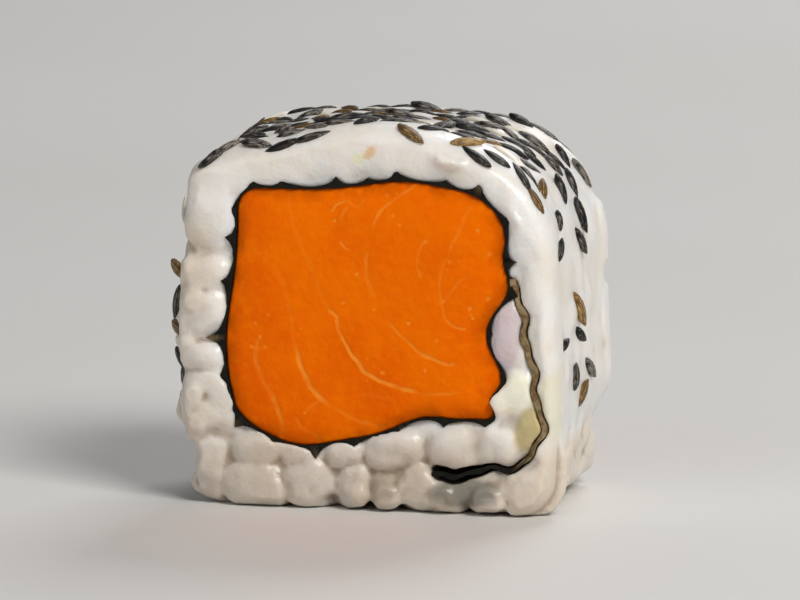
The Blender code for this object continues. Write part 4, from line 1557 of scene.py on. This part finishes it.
SEED_ROWS = 7
SEED_SIDES = 10
SEED_TAPER = (0.8, 0.66)  # how fast it narrows to its point, and to its blunt end
SEED_KINDS = ("black", "brown", "pale")
SEED_MARGIN = 0.6
SEED_SINK = 0.1
SEED_RISE = 0.08  # of the listed seeds
LEFT_TIP = 0.9  # how far the seeds on the left side tip towards the front
TIP_OUT = 0.35  # share of that tip by which they stand out
SEED_FLOOR = 8.5
SEED_ROOM = 2.0  # that scattered seeds leave round the listed ones
SEED_TOP = (0.15, 0.75)  # upward parts of the normal between which seeds grow dense
SEED_LEFT = (0.6, 0.9)  # leftward parts between which they reach the left side's share
SEED_LEFT_SHARE = 0.4
SEED_SKIN = 1.6  # deepest below the roll's outline that seeds lie
SEED_OWN_WAY = 0.4  # share of the rice's own slope in how a seed lies
SEED_FACING = 0.5  # least that the rice there faces outwards
NEAREST_BATCH = 20000


def seed_mesh():
    """A flat teardrop of size 1, its length along X, pointed in front and blunt behind."""
    shape = bmesh.new()
    rings = []
    point, blunt = SEED_TAPER
    widest = point**point * blunt**blunt / (point + blunt) ** (point + blunt)
    for row in range(1, SEED_ROWS):
        share = 0.5 - 0.5 * math.cos(math.pi * row / SEED_ROWS)
        half = 0.5 * share**point * (1 - share) ** blunt / widest
        ring = []
        for side in range(SEED_SIDES):
            angle = 2 * math.pi * side / SEED_SIDES
            ring.append(shape.verts.new((0.5 - share, half * math.cos(angle), half * math.sin(angle))))
        rings.append(ring)
    tip = shape.verts.new((0.5, 0.0, 0.0))
    butt = shape.verts.new((-0.5, 0.0, 0.0))
    for near, far in zip(rings, rings[1:]):
        for side in range(SEED_SIDES):
            after = (side + 1) % SEED_SIDES
            shape.faces.new((near[side], near[after], far[after], far[side]))
    for side in range(SEED_SIDES):
        after = (side + 1) % SEED_SIDES
        shape.faces.new((tip, rings[0][after], rings[0][side]))
        shape.faces.new((butt, rings[-1][side], rings[-1][after]))
    mesh = mesh_of("seed", shape)
    points = points_of(mesh)
    attribute(mesh, "lengthwise", "FLOAT_VECTOR", points * 2)
    return mesh


def rice_surface(rice):
    """The finished rice in millimetres in the design frame, as a mesh and for casting rays."""
    mesh = rice.data.copy()
    mesh.transform(to_packed().inverted())
    faces = [tuple(face.vertices) for face in mesh.polygons]
    return mesh, BVHTree.FromPolygons([vertex.co.copy() for vertex in mesh.vertices], faces)


def nearest_normals(points):
    """The roll's outward normal at each point, as (x, z), and its depth below the roll's outline."""
    outline = rice_outline()
    normals = outward(outline)
    nearest = np.zeros(len(points), int)
    for start in range(0, len(points), NEAREST_BATCH):
        batch = slice(start, start + NEAREST_BATCH)
        apart = np.linalg.norm(points[batch, None, (0, 2)] - outline[None], axis=2)
        nearest[batch] = apart.argmin(axis=1)
    depth = ((outline[nearest] - points[:, (0, 2)]) * normals[nearest]).sum(axis=1)
    return normals[nearest], depth


def seeded_surface(mesh, taken):
    """Gives the rice what the scatter needs: where seeds lie, and which way."""
    points, own_normals = points_of(mesh), normals_of(mesh)
    roll, depth = nearest_normals(points)
    flat = np.column_stack([roll[:, 0], np.zeros(len(roll)), roll[:, 1]])
    lie_on = flat * (1 - SEED_OWN_WAY) + own_normals * SEED_OWN_WAY
    lie_on /= np.linalg.norm(lie_on, axis=1)[:, None]
    top = between(roll[:, 1], SEED_TOP)
    left = between(-roll[:, 0], SEED_LEFT)
    share = np.maximum(top, SEED_LEFT_SHARE * left)
    outside = (depth < SEED_SKIN) & ((own_normals * flat).sum(axis=1) > SEED_FACING)
    clear = (np.abs(points[:, 1]) < LENGTH / 2 - SEED_MARGIN) & (points[:, 2] > SEED_FLOOR)
    share = share * outside * clear
    for place in taken:
        near = np.linalg.norm(points - np.array(place), axis=1)
        share[near < SEED_ROOM] = 0.0
    attribute(mesh, "share", "FLOAT", share)
    attribute(mesh, "lie_on", "FLOAT_VECTOR", lie_on)
    round_way = np.column_stack([-roll[:, 1], np.zeros(len(roll)), roll[:, 0]])
    attribute(mesh, "round_way", "FLOAT_VECTOR", round_way)
    return mesh


def looking():
    """The camera's directions in the design frame: towards it, to its right, and up."""
    turn, rise = math.radians(CAMERA_TURN), math.radians(CAMERA_RISE)
    back = Vector((math.sin(turn) * math.cos(rise), -math.cos(turn) * math.cos(rise), math.sin(rise)))
    right = Vector((math.cos(turn), math.sin(turn), 0.0))
    return back, right, back.cross(right)


def hand_placed(tree, size):
    """The listed seeds: each where a ray from outside meets the rice, with its kind."""
    found = []
    back, right, over = looking()
    for x, z, lean, length, width, kind in FRONT_SEEDS:
        spot, normal, _, _ = tree.ray_cast(Vector((x, -LENGTH / 2, z)) + back * 60.0, -back)
        if spot is None:
            continue
        up = (rolled_up(spot) + normal * 0.4 + back * 0.5).normalized()
        angle = math.radians(lean)
        way = right * math.cos(angle) + over * math.sin(angle)
        way += back * (-way.dot(up) / max(back.dot(up), 0.25))
        found.append((spot + up * SEED_RISE, lying(way, up), Vector((length, width, size.z)), kind))
    rays = [((-40.0, y, z), (1, 0, 0), lean, LEFT_TIP, kind) for y, z, lean, kind in LEFT_SEEDS]
    rays += [((x, y, 60.0), (0, 0, -1), lean, 0.0, kind) for x, y, lean, kind in TOP_SEEDS]
    for start, way, lean, tip, kind in rays:
        spot, normal, _, _ = tree.ray_cast(Vector(start), Vector(way))
        up = (rolled_up(spot) * 0.75 + normal * 0.25 + Vector((0.0, -tip, 0.0))).normalized()
        spot += rolled_up(spot) * tip * TIP_OUT
        round_way = Vector((-up.z, 0.0, up.x))
        long_way = Quaternion(up, math.radians(lean)) @ round_way
        found.append((spot - up * SEED_SINK, lying(long_way, up), size, kind))
    return found


def rolled_up(spot):
    """The roll's outward normal at a spot."""
    roll, _ = nearest_normals(np.array([spot]))
    return Vector((roll[0][0], 0.0, roll[0][1]))


def make_seeds(sizes, looks):
    """Builds the sesame seeds on the finished rice, one piece for each kind."""
    rice = bpy.data.objects.get("packed_rice")
    if rice is None:
        raise RuntimeError("make the rice before its seeds")
    surface, tree = rice_surface(rice)
    size = Vector((sizes.seed_length, sizes.seed_width, sizes.seed_thickness)) / MM
    by_hand = hand_placed(tree, size)
    host = seeded_surface(surface, [place[0] for place in by_hand])
    scatter = scatter_tree()
    placed = placed_tree()
    seed = linked("seed", seed_mesh())
    kinds = {
        "black": (seed_material("black sesame", looks.seed_black, looks.seed_grey, looks.seed_edge), 1.0),
        "brown": (seed_material("brown sesame", looks.seed_brown, looks.seed_tan, looks.seed_olive), 0.22),
        "pale": (seed_material("pale sesame", looks.seed_pale, looks.seed_white, looks.seed_grey), 0.08),
    }
    everywhere = grown(
        scatter,
        host,
        Piece=seed,
        Seed=sizes.sesame_seed,
        Material=kinds["black"][0],
        Spacing=sizes.seed_spacing / MM,
        Density=6.0,
        Length=size.x,
        Width=size.y,
        Thickness=size.z,
        Uneven=0.13,
        Sway=math.radians(48),
        Sink=SEED_SINK,
    )
    parts = split_kinds(everywhere, [kinds[kind][1] for kind in SEED_KINDS])
    for kind, scattered in zip(SEED_KINDS, parts):
        own_places = [place[:3] for place in by_hand if place[3] == kind]
        meshes = [scattered]
        if own_places:
            meshes.append(grown(placed, spots(own_places), Piece=seed, Seed=5, Material=kinds[kind][0]))
        finished(f"{kind}_sesame", joined(meshes), kinds[kind][0], (), on_rice=True)
    bpy.data.objects.remove(seed)


def split_kinds(mesh, shares):
    """The scattered seeds shared out over the kinds, each seed whole."""
    each = SEED_SIDES * (SEED_ROWS - 1) + 2
    count = len(mesh.vertices) // each
    draw = random.Random(17)
    total = sum(shares)
    kinds = [draw.choices(range(len(shares)), [share / total for share in shares])[0] for _ in range(count)]
    parts = []
    for kind in range(len(shares)):
        shape = bmesh.new()
        shape.from_mesh(mesh)
        shape.verts.ensure_lookup_table()
        gone = [vertex for vertex in shape.verts if kinds[vertex.index // each] != kind]
        bmesh.ops.delete(shape, geom=gone, context="VERTS")
        part = bpy.data.meshes.new("part")
        shape.to_mesh(part)
        shape.free()
        parts.append(part)
    return parts


# Stage


def area_light(name, place, aim, size, watts, colour=(1.0, 1.0, 1.0)):
    """A soft square light at a place, turned to its aim."""
    data = bpy.data.lights.new(name, "AREA")
    data.shape = "SQUARE"
    data.size = size
    data.energy = watts
    data.color = colour
    light = bpy.data.objects.new(name, data)
    bpy.context.scene.collection.objects.link(light)
    light.location = place
    light.rotation_euler = (Vector(aim) - Vector(place)).to_track_quat("-Z", "Y").to_euler()


CAMERA_DISTANCE = 1.15
CAMERA_LENS = 540.0
FLOOR_REACH = 3.0


def make_stage(looks):
    """Builds the pale floor, the soft lights and the camera."""
    shape = bmesh.new()
    bmesh.ops.create_grid(shape, x_segments=1, y_segments=1, size=FLOOR_REACH)
    floor = linked("floor", mesh_of("floor", shape))
    material, tree, shader = new_material("pale floor")
    place = add(tree, "ShaderNodeTexCoord").outputs["Object"]
    tone = graded(tree, noise(tree, place, 6.0), 0.3, 0.7)
    tree.links.new(mixed(tree, tone, looks.floor, looks.floor_deep), shader.inputs["Base Color"])
    set_inputs(shader, Roughness=0.6, Specular_IOR_Level=0.3)
    floor.data.materials.append(material)

    low, high = (Vector(corner) for corner in PACKED_BOX)
    middle = (low + high) / 2
    area_light("key", (0.5, -0.46, 0.62), middle, 0.35, 6.2, (1.0, 0.985, 0.96))
    area_light("fill", (-0.45, -0.65, 0.3), middle, 0.5, 1.0, (0.97, 0.98, 1.0))
    area_light("rim", (0.1, 0.6, 0.5), middle, 0.3, 2.2)
    world = bpy.data.worlds.new("studio")
    world.use_nodes = True
    background = world.node_tree.nodes["Background"]
    background.inputs["Color"].default_value = (0.9, 0.94, 1.0, 1.0)
    background.inputs["Strength"].default_value = 0.13
    scene = bpy.context.scene
    scene.world = world
    scene.view_settings.view_transform = "Standard"
    scene.view_settings.look = "None"

    data = bpy.data.cameras.new("camera")
    data.lens = CAMERA_LENS
    data.clip_start = 0.05
    camera = bpy.data.objects.new("camera", data)
    scene.collection.objects.link(camera)
    back = looking()[0]
    camera.location = middle + back * CAMERA_DISTANCE
    camera.rotation_euler = back.to_track_quat("Z", "Y").to_euler()
    scene.camera = camera


# Add-on


def length_setting(name, description, default):
    """A length that a user may change, in metres."""
    return FloatProperty(
        name=name, description=description, default=default, min=0.0, unit="LENGTH", precision=5
    )


def colour_setting(name, description, red, green, blue):
    """A colour that a user may change, given as it is seen."""
    return FloatVectorProperty(
        name=name,
        description=description,
        default=seen(red, green, blue),
        min=0.0,
        max=1.0,
        subtype="COLOR",
    )


class UramakiSizes(bpy.types.PropertyGroup):
    """Sizes of the piece's grains and seeds."""

    rice_fineness: length_setting("Rice fineness", "Step of the rice's skin", 0.00024)
    relief_tight: length_setting(
        "Tight relief", "How far grains stand out where the rice is pressed", 0.0003
    )
    relief_loose: length_setting(
        "Loose relief", "How far grains stand out where the rice is loose", 0.0011
    )
    grain_length: length_setting("Grain length", "Length of a rice grain", 0.0064)
    grain_width: length_setting("Grain width", "Width of a rice grain", 0.0033)
    grain_spacing: length_setting("Grain spacing", "Least distance between outer grains", 0.0031)
    grain_seed: IntProperty(name="Grain seed", description="Start of the grains' random places", default=21)
    seed_length: length_setting("Seed length", "Length of a sesame seed", 0.0036)
    seed_width: length_setting("Seed width", "Width of a sesame seed", 0.0014)
    seed_thickness: length_setting("Seed thickness", "Thickness of a sesame seed", 0.0008)
    seed_spacing: length_setting("Seed spacing", "Least distance between seeds", 0.002)
    sesame_seed: IntProperty(name="Sesame seed", description="Start of the seeds' random places", default=6)


class UramakiLooks(bpy.types.PropertyGroup):
    """Colours of the piece's foods."""

    rice: colour_setting("Rice", "Milky white of the grains", 243, 240, 236)
    rice_warm: colour_setting("Warm rice", "Warmer patches of the rice", 238, 230, 219)
    rice_bright: colour_setting("Bright rice", "Palest spots of the grains", 250, 248, 245)
    # painted shade: darker, warmer rice in the creases between the grains
    rice_crease_shade: colour_setting("Creases", "Rice between the grains", 186, 168, 142)
    flesh: colour_setting("Flesh", "Main orange of the salmon", 252, 116, 0)
    flesh_deep: colour_setting("Deep flesh", "Darker patches of the salmon", 240, 102, 0)
    flesh_light: colour_setting("Light flesh", "Lighter fibres of the salmon", 253, 134, 4)
    # painted shade: browner flesh along the rim next to the nori
    flesh_rim_shade: colour_setting("Rim of the flesh", "Browner flesh next to the nori", 168, 66, 0)
    # also the colour of the pale flecks, which are painted highlights as well as fat
    fat: colour_setting("Fat", "Fat lines and flecks", 255, 164, 58)
    nori: colour_setting("Nori", "Near black of the sheet", 13, 12, 8)
    nori_green: colour_setting("Green nori", "Greenish patches of the sheet", 24, 23, 12)
    # painted light: brown and olive of the sheet where its loose end comes out of the shade and where it
    # stands out from the salmon
    nori_lit: colour_setting("Lit nori", "Brown of the loose end", 112, 86, 54)
    nori_lit_olive: colour_setting("Pale nori", "Olive patches of the loose end", 160, 140, 104)
    seed_black: colour_setting("Black sesame", "Body of the dark seeds", 17, 14, 12)
    # painted highlight: grey streaks of the dark seeds; also the edge colour of the pale seeds
    seed_grey: colour_setting("Grey streaks", "Pale streaks of the dark seeds", 150, 140, 128)
    seed_edge: colour_setting("Seed edges", "Rim of the dark seeds", 60, 48, 36)
    seed_brown: colour_setting("Brown sesame", "Body of the brown seeds", 92, 64, 30)
    # painted highlight: tan streaks of the brown seeds
    seed_tan: colour_setting("Tan streaks", "Pale streaks of the brown seeds", 190, 156, 98)
    seed_olive: colour_setting("Olive edges", "Rim of the brown seeds", 120, 96, 46)
    seed_pale: colour_setting("Pale sesame", "Body of the pale seeds", 226, 216, 198)
    # painted highlight: white streaks of the pale seeds
    seed_white: colour_setting("White streaks", "Streaks of the pale seeds", 244, 240, 232)
    floor: colour_setting("Floor", "Pale floor under the piece", 222, 220, 217)
    floor_deep: colour_setting("Deep floor", "Darker tone of the floor", 217, 215, 211)


class URAMAKI_OT_rice(bpy.types.Operator):
    """Make the rice with its grains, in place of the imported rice"""

    bl_idname = "uramaki.rice"
    bl_label = "Rice"

    def execute(self, context):
        make_rice(context.scene.uramaki_sizes, context.scene.uramaki_looks)
        return {"FINISHED"}


class URAMAKI_OT_salmon(bpy.types.Operator):
    """Make the salmon block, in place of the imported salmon"""

    bl_idname = "uramaki.salmon"
    bl_label = "Salmon"

    def execute(self, context):
        make_salmon(context.scene.uramaki_looks)
        return {"FINISHED"}


class URAMAKI_OT_nori(bpy.types.Operator):
    """Make the nori round the salmon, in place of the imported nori"""

    bl_idname = "uramaki.nori"
    bl_label = "Nori"

    def execute(self, context):
        make_nori(context.scene.uramaki_looks)
        return {"FINISHED"}


class URAMAKI_OT_seeds(bpy.types.Operator):
    """Lay the sesame seeds on the rice"""

    bl_idname = "uramaki.seeds"
    bl_label = "Sesame Seeds"

    def execute(self, context):
        make_seeds(context.scene.uramaki_sizes, context.scene.uramaki_looks)
        return {"FINISHED"}


class URAMAKI_OT_stage(bpy.types.Operator):
    """Set up the floor, the lights and the camera"""

    bl_idname = "uramaki.stage"
    bl_label = "Stage"

    def execute(self, context):
        make_stage(context.scene.uramaki_looks)
        return {"FINISHED"}


OPERATORS = (URAMAKI_OT_rice, URAMAKI_OT_salmon, URAMAKI_OT_nori, URAMAKI_OT_seeds, URAMAKI_OT_stage)


class URAMAKI_PT_panel(bpy.types.Panel):
    """The steps that dress the piece, with their sizes and colours"""

    bl_label = "Uramaki"
    bl_idname = "URAMAKI_PT_panel"
    bl_space_type = "VIEW_3D"
    bl_region_type = "UI"
    bl_category = "Uramaki"

    def draw(self, context):
        for operator in OPERATORS:
            self.layout.operator(operator.bl_idname)
        for group in (context.scene.uramaki_sizes, context.scene.uramaki_looks):
            box = self.layout.box()
            for name in type(group).__annotations__:
                box.prop(group, name)


CLASSES = (UramakiSizes, UramakiLooks, *OPERATORS, URAMAKI_PT_panel)


def register():
    for cls in CLASSES:
        bpy.utils.register_class(cls)
    bpy.types.Scene.uramaki_sizes = PointerProperty(type=UramakiSizes)
    bpy.types.Scene.uramaki_looks = PointerProperty(type=UramakiLooks)


def unregister():
    del bpy.types.Scene.uramaki_looks
    del bpy.types.Scene.uramaki_sizes
    for cls in reversed(CLASSES):
        bpy.utils.unregister_class(cls)


def main():
    register()
    bpy.ops.uramaki.rice()
    bpy.ops.uramaki.salmon()
    bpy.ops.uramaki.nori()
    bpy.ops.uramaki.seeds()
    bpy.ops.uramaki.stage()


if __name__ == "__main__":
    main()
